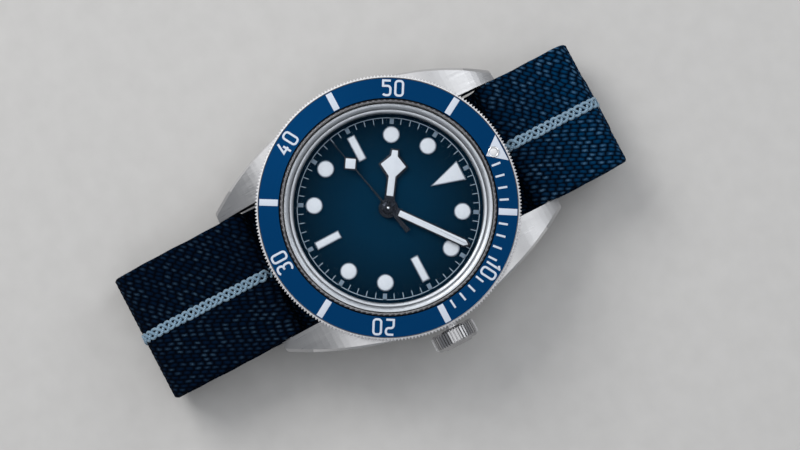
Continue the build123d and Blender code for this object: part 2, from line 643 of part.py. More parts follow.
# Hairspring: a flat spiral of half turns above the balance, held in the cock at its outer end.
HAIRSPRING_TURNS = 9
HAIRSPRING_PITCH = 0.22
HAIRSPRING_Z = BACK + 3.04


def spiral(centre, first_r, pitch, half_turns):
    """A flat spiral of half circles, each larger than the last by half the pitch."""
    start = Vector(centre[0] + first_r, centre[1])
    for half_turn in range(half_turns):
        side = 1 if half_turn % 2 == 0 else -1
        radius = first_r + half_turn * pitch / 2 + pitch / 4
        middle = start + Vector(-side * radius, side * radius)
        end = start + Vector(-side * 2 * radius, 0)
        ThreePointArc(start, middle, end)
        start = end


def spiral_strip(name, centre, first_r, pitch, turns, width, low, high):
    """A ribbon wound on edge into a flat spiral."""
    with BuildPart() as ribbon:
        with BuildSketch(Plane.XY.offset(low)):
            with BuildLine():
                spiral(centre, first_r, pitch, 2 * turns)
            trace(line_width=width)
        extrude(amount=high - low)
    save(ribbon, name)


spiral_strip("hairspring", BALANCE, 0.3, HAIRSPRING_PITCH, HAIRSPRING_TURNS, 0.08,
             HAIRSPRING_Z, HAIRSPRING_Z + 0.14)

# Barrel: an open drum with the great wheel round its rim, holding the mainspring.
DRUM_R = 4.35
with BuildPart() as barrel:
    gear(BARREL, BARREL_MODULE, BARREL_TEETH, angle_to(BARREL, CENTRE), BARREL_Z, PLATE_LOW - GAP)
    disc(BARREL, DRUM_R, BARREL_Z, BARREL_HIGH)
    disc(BARREL, DRUM_R - 0.2, BARREL_Z + 0.2, BARREL_HIGH, mode=Mode.SUBTRACT)
    disc(BARREL, BARREL_ARBOR_R + GAP, BARREL_Z, BARREL_HIGH, mode=Mode.SUBTRACT)
save(barrel, "barrel")

spiral_strip("mainspring", BARREL, 0.85, 0.3, 10, 0.12, BARREL_Z + 0.22, BARREL_HIGH - 0.06)

# ---------------------------------------------------------------- motion work under the dial

with BuildPart() as cannon_pinion:
    disc(CENTRE, CANNON_R, HOUR_WORK_Z - GAP, MINUTE_HAND_Z + HAND_THICKNESS)
    gear(CENTRE, CANNON_MODULE, CANNON_TEETH, angle_to(CENTRE, MINUTE_POST), MINUTE_WORK_Z, HOUR_WORK_Z - GAP)
    disc(CENTRE, CENTRE_TUBE_R, MINUTE_WORK_Z, MINUTE_HAND_Z + HAND_THICKNESS, mode=Mode.SUBTRACT)
save(cannon_pinion, "cannon_pinion")

with BuildPart() as minute_wheel:
    gear(MINUTE_POST, CANNON_MODULE, MINUTE_TEETH, gap_phase(CENTRE, MINUTE_POST, MINUTE_TEETH),
         MINUTE_WORK_Z, HOUR_WORK_Z - GAP)
    gear(MINUTE_POST, HOUR_MODULE, MINUTE_PINION, angle_to(MINUTE_POST, CENTRE),
         HOUR_WORK_Z - GAP, DIAL_LOW - GAP)
    disc(MINUTE_POST, 0.3, MINUTE_WORK_Z, DIAL_LOW, mode=Mode.SUBTRACT)
save(minute_wheel, "minute_wheel")

with BuildPart() as hour_wheel:
    gear(CENTRE, HOUR_MODULE, HOUR_TEETH, gap_phase(MINUTE_POST, CENTRE, HOUR_TEETH),
         HOUR_WORK_Z, DIAL_LOW - GAP)
    disc(CENTRE, HOUR_TUBE_R, HOUR_WORK_Z, HOUR_HAND_Z + HAND_THICKNESS)
    disc(CENTRE, CANNON_R + GAP, HOUR_WORK_Z, HOUR_HAND_Z + HAND_THICKNESS, mode=Mode.SUBTRACT)
save(hour_wheel, "hour_wheel")

# ---------------------------------------------------------------- winding and setting work

WINDING_MODULE = 0.15
RATCHET_TEETH = 54
CROWN_WHEEL_TEETH = 25
WINDING_PINION_TEETH = 15
STEM_R = 0.45
WINDING_PINION_X = 9.1
WINDING_PINION_R = 1.5
WINDING_PINION_MODULE = 2 * WINDING_PINION_R / (WINDING_PINION_TEETH + 1.4)
CLUTCH_R = 1.2
WINDING_PITCH = WINDING_MODULE * (RATCHET_TEETH + CROWN_WHEEL_TEETH) / 2
CROWN_WHEEL = (BARREL[0] + sqrt(WINDING_PITCH**2 - BARREL[1] ** 2), 0)

with BuildPart() as ratchet_wheel:
    gear(BARREL, WINDING_MODULE, RATCHET_TEETH, angle_to(BARREL, CROWN_WHEEL), WINDING_LOW, WINDING_HIGH)
    disc(BARREL, BARREL_ARBOR_R, WINDING_LOW, WINDING_HIGH, mode=Mode.SUBTRACT)
save(ratchet_wheel, "ratchet_wheel")

with BuildPart() as barrel_arbor:
    disc(BARREL, BARREL_ARBOR_R, WINDING_LOW, PLATE_HIGH - 0.15)
save(barrel_arbor, "barrel_arbor")

with BuildPart() as crown_wheel:
    gear(CROWN_WHEEL, WINDING_MODULE, CROWN_WHEEL_TEETH, gap_phase(BARREL, CROWN_WHEEL, CROWN_WHEEL_TEETH),
         WINDING_LOW, WINDING_HIGH)
    disc(CROWN_WHEEL, 0.5, WINDING_LOW, WINDING_HIGH, mode=Mode.SUBTRACT)
save(crown_wheel, "crown_wheel")

CROWN_LOW_X = 19.8
CROWN_HIGH_X = 22.6
CROWN_BORE_X = 21.4
CROWN_FLUTES = 46
FLUTE_ROOT_R = CROWN_R - 0.22
STEM_TIP_X = 7.0


def stem_ring(name, low_x, high_x, outer, inner):
    """A plain ring about the stem."""
    with BuildPart() as piece:
        with BuildSketch(Plane.YZ.offset(low_x)):
            with Locations((0, CROWN_Z)):
                Circle(outer)
                Circle(inner, mode=Mode.SUBTRACT)
        extrude(amount=high_x - low_x)
    save(piece, name)


with BuildPart() as winding_pinion:
    with BuildSketch(Plane.YZ.offset(WINDING_PINION_X - 0.4)):
        with Locations((0, CROWN_Z)):
            Polygon(*tooth_ring(WINDING_PINION_MODULE, WINDING_PINION_TEETH, 90), align=None)
            Circle(STEM_R + GAP, mode=Mode.SUBTRACT)
    extrude(amount=0.8)
save(winding_pinion, "winding_pinion")

stem_ring("clutch_wheel", STEM_TIP_X + 0.1, 8.5, CLUTCH_R, STEM_R + GAP)

with BuildPart() as winding_stem:
    with BuildSketch(Plane.YZ.offset(STEM_TIP_X)):
        with Locations((0, CROWN_Z)):
            Circle(STEM_R)
    extrude(amount=CROWN_BORE_X - STEM_TIP_X)
    chamfer(winding_stem.faces().sort_by(Axis.X)[0].edges(), 0.12)
save(winding_stem, "winding_stem")

stem_ring("crown_tube", CAVITY_R + 0.1, 20.9, TUBE_R, 0.75)
stem_ring("crown_gasket", 20.95, 21.35, 1.6, STEM_R + 0.3)


def flutes():
    """Corners of the crown's fluted edge: flat ribs with slanted sides."""
    corners = []
    step = 360 / CROWN_FLUTES
    for flute in range(CROWN_FLUTES):
        for radius, share in ((CROWN_R, -0.27), (CROWN_R, 0.27), (FLUTE_ROOT_R, 0.4), (FLUTE_ROOT_R, 0.6)):
            angle = radians((flute + share) * step)
            corners.append((radius * cos(angle), radius * sin(angle)))
    return corners


with BuildPart() as crown:
    with BuildSketch(Plane.YZ.offset(CROWN_LOW_X)):
        with Locations((0, CROWN_Z)):
            Polygon(*flutes(), align=None)
    extrude(amount=CROWN_HIGH_X - CROWN_LOW_X)
    # Both rims are turned down, and the end is a flat disc with a bevelled edge.
    with BuildSketch(Plane.XY.offset(CROWN_Z)):
        Polygon(
            (CROWN_LOW_X, 0), (CROWN_LOW_X, CROWN_R - 0.35), (CROWN_LOW_X + 0.45, CROWN_R + 0.1),
            (CROWN_HIGH_X - 0.8, CROWN_R + 0.1), (CROWN_HIGH_X - 0.25, CROWN_R - 0.55),
            (CROWN_HIGH_X - 0.25, 2.3), (CROWN_HIGH_X, 2.0), (CROWN_HIGH_X, 0), align=None,
        )
    revolve(axis=Axis((0, 0, CROWN_Z), (1, 0, 0)), mode=Mode.INTERSECT)
    # Bore that closes over the crown tube and holds the gasket.
    with BuildSketch(Plane.YZ.offset(CROWN_LOW_X)):
        with Locations((0, CROWN_Z)):
            Circle(1.65)
    extrude(amount=CROWN_BORE_X - CROWN_LOW_X, mode=Mode.SUBTRACT)
save(crown, "crown")

# ---------------------------------------------------------------- plates, bridges and their jewels

STEM_SLOT = 3.5
SLOT_LOW_X = 6.8
SCREWS = ((9.6, 6.4), (-0.6, 11.0), (-10.6, 4.6), (-9.4, -5.4), (4.7, -4.1), (-5.6, -9.5), (5.0, -7.4))
SCREW_R = 0.45
SCREW_HEAD_R = 0.8
BARREL_SIDE = [(-2.2, 13), (-2.2, 4.6), (-0.6, 1.4), (1.5, 1.0), (5.5, -1.9), (13, -1.9), (13, 13)]
TRAIN_SIDE = [(-13, 13), (-2.4, 13), (-2.4, 4.5), (-0.8, 1.2), (1.4, 0.8), (5.3, -2.1), (5.3, -5.3),
              (-2.2, -5.3), (-6.5, -7.0), (-13, -7.0)]
COCK_FOOT = SCREWS[5]
PALLET_FOOT = SCREWS[6]
COCK_LOW = BACK + 2.4
HEAD_DEPTH = 0.24


def plate_slot(low, high):
    """Room for the stem, its clutch and the winding pinion, cut in the part block that calls it."""
    with BuildSketch(Plane.XY.offset(low)) as slot:
        with Locations((SLOT_LOW_X, 0)):
            Rectangle(MOVEMENT_R, STEM_SLOT, align=(Align.MIN, Align.CENTER))
    extrude(slot.sketch, amount=high - low, mode=Mode.SUBTRACT)


def holes(centres, radius, low, high):
    """Round holes through a plate, cut in the part block that calls it."""
    for centre in centres:
        disc(centre, radius, low, high, mode=Mode.SUBTRACT)


with BuildPart() as mainplate:
    disc(CENTRE, MOVEMENT_R, PLATE_LOW, PLATE_HIGH)
    disc(CENTRE, CENTRE_TUBE_R + GAP, PLATE_LOW, PLATE_HIGH, mode=Mode.SUBTRACT)
    disc(BARREL, DRUM_R + 0.25, PLATE_LOW, BARREL_HIGH + 0.1, mode=Mode.SUBTRACT)
    disc(BARREL, BARREL_ARBOR_R + GAP, PLATE_LOW, PLATE_HIGH, mode=Mode.SUBTRACT)
    disc(MINUTE_POST, 0.25, PLATE_HIGH, DIAL_LOW - 0.02)
    plate_slot(PLATE_LOW, PLATE_HIGH)
    holes([THIRD, ESCAPE, PALLET, BALANCE], JEWEL_R, PLATE_LOW, PLATE_LOW + 0.4)
    holes([THIRD, ESCAPE, PALLET, BALANCE], PIVOT_R + 0.1, PLATE_LOW, PLATE_HIGH)
    holes(SCREWS, SCREW_R, PLATE_LOW, PLATE_HIGH)
save(mainplate, "mainplate")

RIM_INNER_R = 11.4


def bridge(name, side, screws, jewels):
    """A bridge: part of a disc on one side of the movement, standing on a foot round the rim."""
    with BuildPart() as piece:
        with BuildSketch(Plane.XY.offset(BRIDGE_LOW)):
            Polygon(*side, align=None)
            Circle(MOVEMENT_R - 0.1, mode=Mode.INTERSECT)
        extrude(amount=BRIDGE_HIGH - BRIDGE_LOW)
        with BuildSketch(Plane.XY.offset(BRIDGE_HIGH)):
            Polygon(*side, align=None)
            Circle(MOVEMENT_R - 0.1, mode=Mode.INTERSECT)
            Circle(RIM_INNER_R, mode=Mode.SUBTRACT)
            with Locations(*screws):
                Circle(1.1)
            Circle(MOVEMENT_R - 0.1, mode=Mode.INTERSECT)
        extrude(amount=PLATE_LOW - BRIDGE_HIGH)
        plate_slot(BRIDGE_LOW, PLATE_LOW)
        holes(jewels, JEWEL_R, BRIDGE_LOW, BRIDGE_LOW + 0.4)
        holes(jewels, PIVOT_R + 0.1, BRIDGE_LOW, PLATE_LOW)
        holes(screws, SCREW_R, BRIDGE_LOW, PLATE_LOW)
        holes(screws, SCREW_HEAD_R + 0.02, BRIDGE_LOW, BRIDGE_LOW + HEAD_DEPTH)
        holes([BARREL], BARREL_ARBOR_R + GAP, BRIDGE_LOW, BRIDGE_HIGH)
        disc(BALANCE, BALANCE_R + 0.25, BRIDGE_LOW, PLATE_LOW, mode=Mode.SUBTRACT)
    save(piece, name)


bridge("barrel_bridge", BARREL_SIDE, SCREWS[0:2], [])
bridge("train_bridge", TRAIN_SIDE, SCREWS[2:5], [CENTRE, THIRD, ESCAPE])


def cock(name, end, foot, low, thickness, jewelled):
    """An arm on one screwed foot that carries an upper pivot at its end."""
    with BuildPart() as piece:
        with BuildSketch(Plane.XY.offset(low)):
            with Locations(end):
                Circle(0.9)
            with Locations(foot):
                Circle(1.05)
            make_hull()
        extrude(amount=thickness)
        disc(foot, 1.05, low + thickness, PLATE_LOW)
        if jewelled:
            disc(end, JEWEL_R, low, low + 0.4, mode=Mode.SUBTRACT)
        disc(end, PIVOT_R + 0.1, low, low + thickness, mode=Mode.SUBTRACT)
        disc(foot, SCREW_R, low, PLATE_LOW, mode=Mode.SUBTRACT)
        disc(foot, SCREW_HEAD_R + 0.02, low, low + HEAD_DEPTH, mode=Mode.SUBTRACT)
    save(piece, name)


cock("balance_cock", BALANCE, COCK_FOOT, COCK_LOW, 0.5, True)
cock("pallet_bridge", PALLET, PALLET_FOOT, BRIDGE_HIGH, 0.28, False)

with BuildPart() as jewels:
    for upper in (CENTRE, THIRD, ESCAPE):
        disc(upper, JEWEL_R, BRIDGE_LOW, BRIDGE_LOW + 0.4)
    for lower in (THIRD, ESCAPE, PALLET, BALANCE):
        disc(lower, JEWEL_R, PLATE_LOW, PLATE_LOW + 0.4)
    disc(BALANCE, JEWEL_R, COCK_LOW, COCK_LOW + 0.4)
    for hole in (CENTRE, THIRD, ESCAPE, PALLET, BALANCE):
        disc(hole, JEWEL_HOLE_R, BACK, PLATE_HIGH, mode=Mode.SUBTRACT)
save(jewels, "pivot_jewels")

with BuildPart() as screws:
    for place in SCREWS:
        head_low = {COCK_FOOT: COCK_LOW, PALLET_FOOT: BRIDGE_HIGH}.get(place, BRIDGE_LOW)
        disc(place, SCREW_HEAD_R, head_low, head_low + HEAD_DEPTH - 0.02)
        disc(place, SCREW_R - 0.01, head_low, PLATE_HIGH - 0.1)
save(screws, "bridge_screws")

# ---------------------------------------------------------------- self-winding rotor

BEARING_R = 0.9
with BuildPart() as rotor_bearing:
    disc(CENTRE, BEARING_R, ROTOR_LOW - 0.05, BRIDGE_LOW)
    disc(CENTRE, 1.1, ROTOR_HIGH + GAP, BRIDGE_LOW)
save(rotor_bearing, "rotor_bearing")

ROTOR_R = 12.5
with BuildPart() as rotor:
    with BuildSketch(Plane.XY.offset(ROTOR_LOW)):
        Circle(ROTOR_R)
        with Locations((0, ROTOR_R)):
            Rectangle(2 * ROTOR_R, 2 * ROTOR_R, mode=Mode.SUBTRACT)
        Circle(2.4)
        with Locations((5.6, -5.2), (-5.6, -5.2)):
            Circle(2.0, mode=Mode.SUBTRACT)
    extrude(amount=ROTOR_WEB - ROTOR_LOW)
    with BuildSketch(Plane.XY.offset(ROTOR_WEB)):
        Circle(ROTOR_R)
        Circle(ROTOR_R - 2.6, mode=Mode.SUBTRACT)
        with Locations((0, ROTOR_R)):
            Rectangle(2 * ROTOR_R, 2 * ROTOR_R, mode=Mode.SUBTRACT)
        Circle(2.0)
    extrude(amount=ROTOR_HIGH - ROTOR_WEB)
    disc(CENTRE, BEARING_R + GAP, ROTOR_LOW, ROTOR_HIGH, mode=Mode.SUBTRACT)
save(rotor, "rotor")

# ---------------------------------------------------------------- strap

ARM_INNER_X = 10.15
ARM_OUTER_X = 11.65
BUCKLE_EYE_R = 1.35
FAR_BAR_LOW_Y = BUCKLE_Y - 11.5
FAR_BAR_WIDTH = 2.2
FAR_BAR_TOP = 1.0
TONGUE_WIDTH = 1.6
TONGUE_TIP_THICKNESS = 0.5
BUCKLE_PLAY = 0.55        # room in which the fastened buckle's frame can rise
LEFT_END = -41.2          # outermost reach of the loop past 6 o'clock
RIGHT_END = 35.2          # and past 12 o'clock
TAIL_TIP = 36.0
END_BEND = 3.1
LEFT_TOP_Z = BACK + 2.2
RIGHT_TOP_Z = BACK + 3.0
CREST_Z = BAR_Z + BAR_BEND
FOLD_END_Y = -2.3         # the fold is sewn down as far as the fixed keeper
FOLD_RISE_Y = BUCKLE_Y + 3.7
FOLD_TOP_Y = BUCKLE_Y + 1.6
LIFT_START_Y = FAR_BAR_LOW_Y - 1.9
LIFT_TOP_Y = FAR_BAR_LOW_Y - 0.2
DROP_TOP_Y = FAR_BAR_LOW_Y + 2.1
DROP_END_Y = FAR_BAR_LOW_Y + 4.0
FLOOR_Z = STRAP_THICKNESS / 2
OVER_BAR_Z = FAR_BAR_TOP + BUCKLE_PLAY + STRAP_THICKNESS / 2
TONGUE_HOLE_Y = BUCKLE_Y - 6.4
HOLE_PITCH = 7.0
HOLES = 6

with BuildPart() as strap:
    # Middle line of the band from its folded end, round the buckle bar, under the case, to its tip.
    with BuildSketch(Plane.YZ.offset(-STRAP_WIDTH / 2)):
        with BuildLine():
            FilletPolyline(
                (FOLD_END_Y, FOLD_LAYER_Z), (FOLD_RISE_Y, FOLD_LAYER_Z), (FOLD_TOP_Y, BUCKLE_Z + FOLD_BEND),
                (BUCKLE_Y - FOLD_BEND, BUCKLE_Z + FOLD_BEND), (BUCKLE_Y - FOLD_BEND, INNER_LAYER_Z),
                (RIGHT_END - STRAP_THICKNESS / 2, INNER_LAYER_Z),
                (RIGHT_END - STRAP_THICKNESS / 2, RIGHT_TOP_Z),
                (PASS_Y, CREST_Z), (PASS_Y, PASS_Z), (-PASS_Y, PASS_Z), (-PASS_Y, CREST_Z),
                (LEFT_END + STRAP_THICKNESS / 2, LEFT_TOP_Z), (LEFT_END + STRAP_THICKNESS / 2, FLOOR_Z),
                (LIFT_START_Y, FLOOR_Z), (LIFT_TOP_Y, OVER_BAR_Z), (DROP_TOP_Y, OVER_BAR_Z),
                (DROP_END_Y, TAIL_Z), (TAIL_TIP, TAIL_Z),
                radius=[0.6, 0.6, FOLD_BEND - 0.02, FOLD_BEND - 0.02, 2.9, 2.9, BAR_BEND, BAR_BEND,
                        BAR_BEND, BAR_BEND, END_BEND, 2.2, 0.8, 0.8, 0.8, 0.8],
            )
        trace(line_width=STRAP_THICKNESS)
    extrude(amount=STRAP_WIDTH)
    # Slot in the fold for the tongue's eye, and the row of holes in the tail.
    with BuildSketch(Plane.XY.offset(INNER_LAYER_Z - STRAP_THICKNESS / 2)):
        with Locations((0, BUCKLE_Y - 0.4)):
            Rectangle(2.6, 5.6)
    extrude(amount=2 * FOLD_BEND + STRAP_THICKNESS + GAP, mode=Mode.SUBTRACT)
    with BuildSketch(Plane.XY):
        with Locations(*[(0, TONGUE_HOLE_Y + number * HOLE_PITCH) for number in range(HOLES)]):
            SlotOverall(3.6, 2.6, rotation=90)
    extrude(amount=TAIL_Z + STRAP_THICKNESS / 2 + GAP / 2, mode=Mode.SUBTRACT)
    # The tip is rounded in plan.
    fillet(strap.edges().filter_by(Axis.Z).group_by(Axis.Y)[-1], 6.0)
save(strap, "strap")

with BuildPart() as spring_bars:
    for side in (BAR_Y, -BAR_Y):
        with BuildSketch(Plane.YZ.offset(-9.95)):
            with Locations((side, BAR_Z)):
                Circle(BAR_R)
        extrude(amount=19.9)
        with BuildSketch(Plane.YZ.offset(-LUG_GAP / 2 - 0.9)):
            with Locations((side, BAR_Z)):
                Circle(0.4)
        extrude(amount=LUG_GAP + 1.8)
save(spring_bars, "spring_bars")

# ---------------------------------------------------------------- buckle and keepers

with BuildPart() as buckle_bar:
    with BuildSketch(Plane.YZ.offset(-ARM_OUTER_X)):
        with Locations((BUCKLE_Y, BUCKLE_Z)):
            Circle(BUCKLE_BAR_R)
    extrude(amount=2 * ARM_OUTER_X)
save(buckle_bar, "buckle_bar")

# The frame's arms run from the bar down to a flat far bar, notched for the tongue's tip.
with BuildPart() as buckle_frame:
    with BuildSketch(Plane.YZ.offset(-ARM_OUTER_X)):
        with Locations((BUCKLE_Y, BUCKLE_Z)):
            Circle(BUCKLE_EYE_R)
        with Locations((FAR_BAR_LOW_Y, 0)):
            Rectangle(FAR_BAR_WIDTH, FAR_BAR_TOP + 0.5, align=(Align.MIN, Align.MIN))
        make_hull()
    extrude(amount=2 * ARM_OUTER_X)
    with BuildSketch(Plane.YZ.offset(-ARM_INNER_X)):
        with Locations((FAR_BAR_LOW_Y - 1, FAR_BAR_TOP)):
            Rectangle(20, 10, align=(Align.MIN, Align.MIN))
        with Locations((FAR_BAR_LOW_Y + FAR_BAR_WIDTH, -1)):
            Rectangle(20, 10, align=(Align.MIN, Align.MIN))
    extrude(amount=2 * ARM_INNER_X, mode=Mode.SUBTRACT)
    with BuildSketch(Plane.YZ.offset(-ARM_OUTER_X)):
        with Locations((BUCKLE_Y, BUCKLE_Z)):
            Circle(BUCKLE_BAR_R + GAP)
    extrude(amount=2 * ARM_OUTER_X, mode=Mode.SUBTRACT)
    # Rounded in plan at the far corners, and notched where the tongue's tip lies.
    with BuildSketch(Plane.XY):
        with Locations((0, FAR_BAR_LOW_Y)):
            RectangleRounded(2 * ARM_OUTER_X, 30, 2.2, align=(Align.CENTER, Align.MIN))
    extrude(amount=BACK, mode=Mode.INTERSECT)
    with BuildSketch(Plane.XY):
        with Locations((0, FAR_BAR_LOW_Y)):
            Rectangle(TONGUE_WIDTH + 0.4, FAR_BAR_WIDTH, align=(Align.CENTER, Align.MIN))
    extrude(amount=TONGUE_TIP_THICKNESS + 0.05, mode=Mode.SUBTRACT)
save(buckle_frame, "buckle_frame")

# The tongue's eye turns on the bar, and its blade drops through the strap to the far bar.
with BuildPart() as buckle_tongue:
    with BuildSketch(Plane.YZ.offset(-TONGUE_WIDTH / 2)):
        with BuildLine():
            FilletPolyline(
                (BUCKLE_Y - 1.0, BUCKLE_Z - 0.8), (BUCKLE_Y - 4.9, INNER_LAYER_Z + 0.45),
                (BUCKLE_Y - 6.9, TONGUE_TIP_THICKNESS / 2), (FAR_BAR_LOW_Y + 0.3, TONGUE_TIP_THICKNESS / 2),
                radius=[1.0, 0.8],
            )
        trace(line_width=TONGUE_TIP_THICKNESS)
        with Locations((BUCKLE_Y, BUCKLE_Z)):
            Circle(BUCKLE_EYE_R)
            Circle(BUCKLE_BAR_R + GAP, mode=Mode.SUBTRACT)
    extrude(amount=TONGUE_WIDTH)
save(buckle_tongue, "buckle_tongue")


def keeper(name, middle_y, length, inside_z):
    """A flat metal loop round the tail and the layers of strap above it."""
    with BuildPart() as loop:
        with BuildSketch(Plane.XZ.offset(-middle_y - length / 2)):
            with Locations((0, 0)):
                Rectangle(STRAP_WIDTH + 2.4, inside_z + 0.7, align=(Align.CENTER, Align.MIN))
            with Locations((0, KEEPER_THICKNESS)):
                Rectangle(STRAP_WIDTH + 0.6, inside_z - KEEPER_THICKNESS, align=(Align.CENTER, Align.MIN),
                          mode=Mode.SUBTRACT)
        extrude(amount=length)
        fillet(loop.edges().filter_by(Axis.Y).filter_by_position(Axis.X, -99, -ARM_INNER_X - 0.5), 0.5)
        fillet(loop.edges().filter_by(Axis.Y).filter_by_position(Axis.X, ARM_INNER_X + 0.5, 99), 0.5)
    save(loop, name)


KEEPER_LENGTH = 4.0
keeper("fixed_keeper", 0.0, KEEPER_LENGTH, INNER_LAYER_Z + STRAP_THICKNESS / 2 + GAP)
keeper("free_keeper", 13.0, KEEPER_LENGTH, INNER_LAYER_Z + STRAP_THICKNESS / 2 + GAP)
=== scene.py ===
import json
import logging
import math
from dataclasses import dataclass, field
from enum import Enum

import bmesh
import bpy
import numpy as np
from mathutils import Matrix, Vector
from numpy.typing import NDArray


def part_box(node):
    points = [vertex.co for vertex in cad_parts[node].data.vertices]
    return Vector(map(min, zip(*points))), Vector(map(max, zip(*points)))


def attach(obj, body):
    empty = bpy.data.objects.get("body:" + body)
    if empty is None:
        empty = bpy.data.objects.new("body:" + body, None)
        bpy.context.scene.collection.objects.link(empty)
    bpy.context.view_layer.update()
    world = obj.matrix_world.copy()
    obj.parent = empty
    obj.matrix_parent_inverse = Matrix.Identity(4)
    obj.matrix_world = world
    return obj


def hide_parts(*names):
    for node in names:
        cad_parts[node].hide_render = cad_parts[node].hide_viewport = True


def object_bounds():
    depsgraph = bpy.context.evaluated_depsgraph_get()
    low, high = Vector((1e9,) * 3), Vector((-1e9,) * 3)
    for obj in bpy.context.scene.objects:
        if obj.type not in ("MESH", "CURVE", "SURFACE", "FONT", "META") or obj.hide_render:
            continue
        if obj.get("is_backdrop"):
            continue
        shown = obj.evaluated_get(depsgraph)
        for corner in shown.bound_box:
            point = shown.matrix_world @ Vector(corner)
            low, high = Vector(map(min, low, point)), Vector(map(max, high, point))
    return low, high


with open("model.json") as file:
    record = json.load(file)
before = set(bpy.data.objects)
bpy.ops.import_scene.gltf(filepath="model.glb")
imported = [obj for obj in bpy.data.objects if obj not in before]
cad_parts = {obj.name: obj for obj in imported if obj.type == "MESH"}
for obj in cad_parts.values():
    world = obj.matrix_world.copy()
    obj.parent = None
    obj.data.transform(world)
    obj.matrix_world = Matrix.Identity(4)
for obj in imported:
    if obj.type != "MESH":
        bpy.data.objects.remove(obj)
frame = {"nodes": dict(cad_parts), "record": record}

# Wristwatch on a woven one-piece strap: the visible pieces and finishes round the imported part.
# Shapes are worked out in millimetres and go into their meshes in metres. +Z leaves the dial,
# +Y points to 12 o'clock and +X to the crown.

Array = NDArray[np.float64]
Colour = tuple[float, float, float]
Pair = tuple[float, float]
Scale = tuple[float, float, float]
Faces = NDArray[np.int64] | list[list[int]]
Socket = bpy.types.NodeSocket
Term = Socket | float

MM = 0.001
TURN = 2 * math.pi
FLOOR_DROP = 0.02
JOIN_DISTANCE = 0.002
SHARP_ANGLE = 30.0

log = logging.getLogger("wristwatch")


def level(node: str, top: bool = True) -> float:
    """Height in millimetres of the top or the underside of a CAD node."""
    low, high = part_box(node)
    return (high if top else low).z / MM


# ---------------------------------------------------------------- outlines


def arc(centre: Pair, radii: Pair, start: float, end: float, count: int) -> Array:
    """Points of an elliptical arc, centre plus radii times cosine and sine of an even run of angles.

    Args:
        centre: Middle of the ellipse.
        radii: Half width and half height.
        start: First angle in degrees.
        end: Last angle in degrees.
        count: Number of points, both ends among them.

    Returns:
        The points, one to a row.
    """
    angle = np.radians(np.linspace(start, end, count))
    return np.column_stack([centre[0] + radii[0] * np.cos(angle), centre[1] + radii[1] * np.sin(angle)])


def circle(centre: Pair, radius: float, count: int = 64) -> Array:
    """Points of a full circle, anticlockwise and without a repeated end."""
    return arc(centre, (radius, radius), 0, 360, count + 1)[:-1]


def rectangle(width: float, height: float) -> Array:
    """Corners of a rectangle about the origin, anticlockwise."""
    return np.array([[-1, -1], [1, -1], [1, 1], [-1, 1]]) * (width / 2, height / 2)


def placed(points: Array, place: Pair, turn: float) -> Array:
    """Flat points turned anticlockwise about the origin by an angle in degrees, then moved to a place."""
    c, s = math.cos(math.radians(turn)), math.sin(math.radians(turn))
    return points @ np.array([[c, s], [-s, c]]) + place


def at_minute(points: Array, reach: float, minute: float) -> Array:
    """A plan moved out along 12 o'clock and then turned clockwise about the hands' axis to a minute."""
    return placed(placed(points, (0.0, reach), 0), (0.0, 0.0), -6.0 * minute)


def stepped(outline: Array, steps: tuple[Pair, ...]) -> list[Array]:
    """Copies of an outline drawn in by the first number of each step and lifted to the second."""
    return [lifted(inset(outline, distance), height) for distance, height in steps]


def inset(points: Array, distance: float) -> Array:
    """A closed anticlockwise outline drawn in by an even distance.

    Each corner moves along the sum of its two edges' inward normals, over one plus their dot product,
    which is the mitre of the two shifted edges.

    Args:
        points: Corners of the outline.
        distance: How far each edge moves inwards.

    Returns:
        The moved corners, in the same order.
    """
    along = np.roll(points, -1, axis=0) - points
    along /= np.linalg.norm(along, axis=1, keepdims=True) + 1e-12
    after = np.column_stack([-along[:, 1], along[:, 0]])
    before = np.roll(after, 1, axis=0)
    spread = 1 + np.sum(after * before, axis=1, keepdims=True)
    return points + distance * (after + before) / np.maximum(spread, 0.25)


def stroke(path: Array, width: float) -> Array:
    """Closed outline of a pen stroke of even width along an open path.

    The left side is the path plus half the width times its left normal, the right side the same to the
    right, and the outline runs up the right side and back down the left.

    Args:
        path: Points of the middle of the stroke.
        width: Width of the stroke.

    Returns:
        The outline, anticlockwise.
    """
    along = np.diff(path, axis=0)
    along /= np.linalg.norm(along, axis=1, keepdims=True)
    first = np.vstack([along[:1], along])
    last = np.vstack([along, along[-1:]])
    normal_a = np.column_stack([-first[:, 1], first[:, 0]])
    normal_b = np.column_stack([-last[:, 1], last[:, 0]])
    spread = 1 + np.sum(normal_a * normal_b, axis=1, keepdims=True)
    side = (normal_a + normal_b) / np.maximum(spread, 0.3) * width / 2
    return np.vstack([path - side, (path + side)[::-1]])


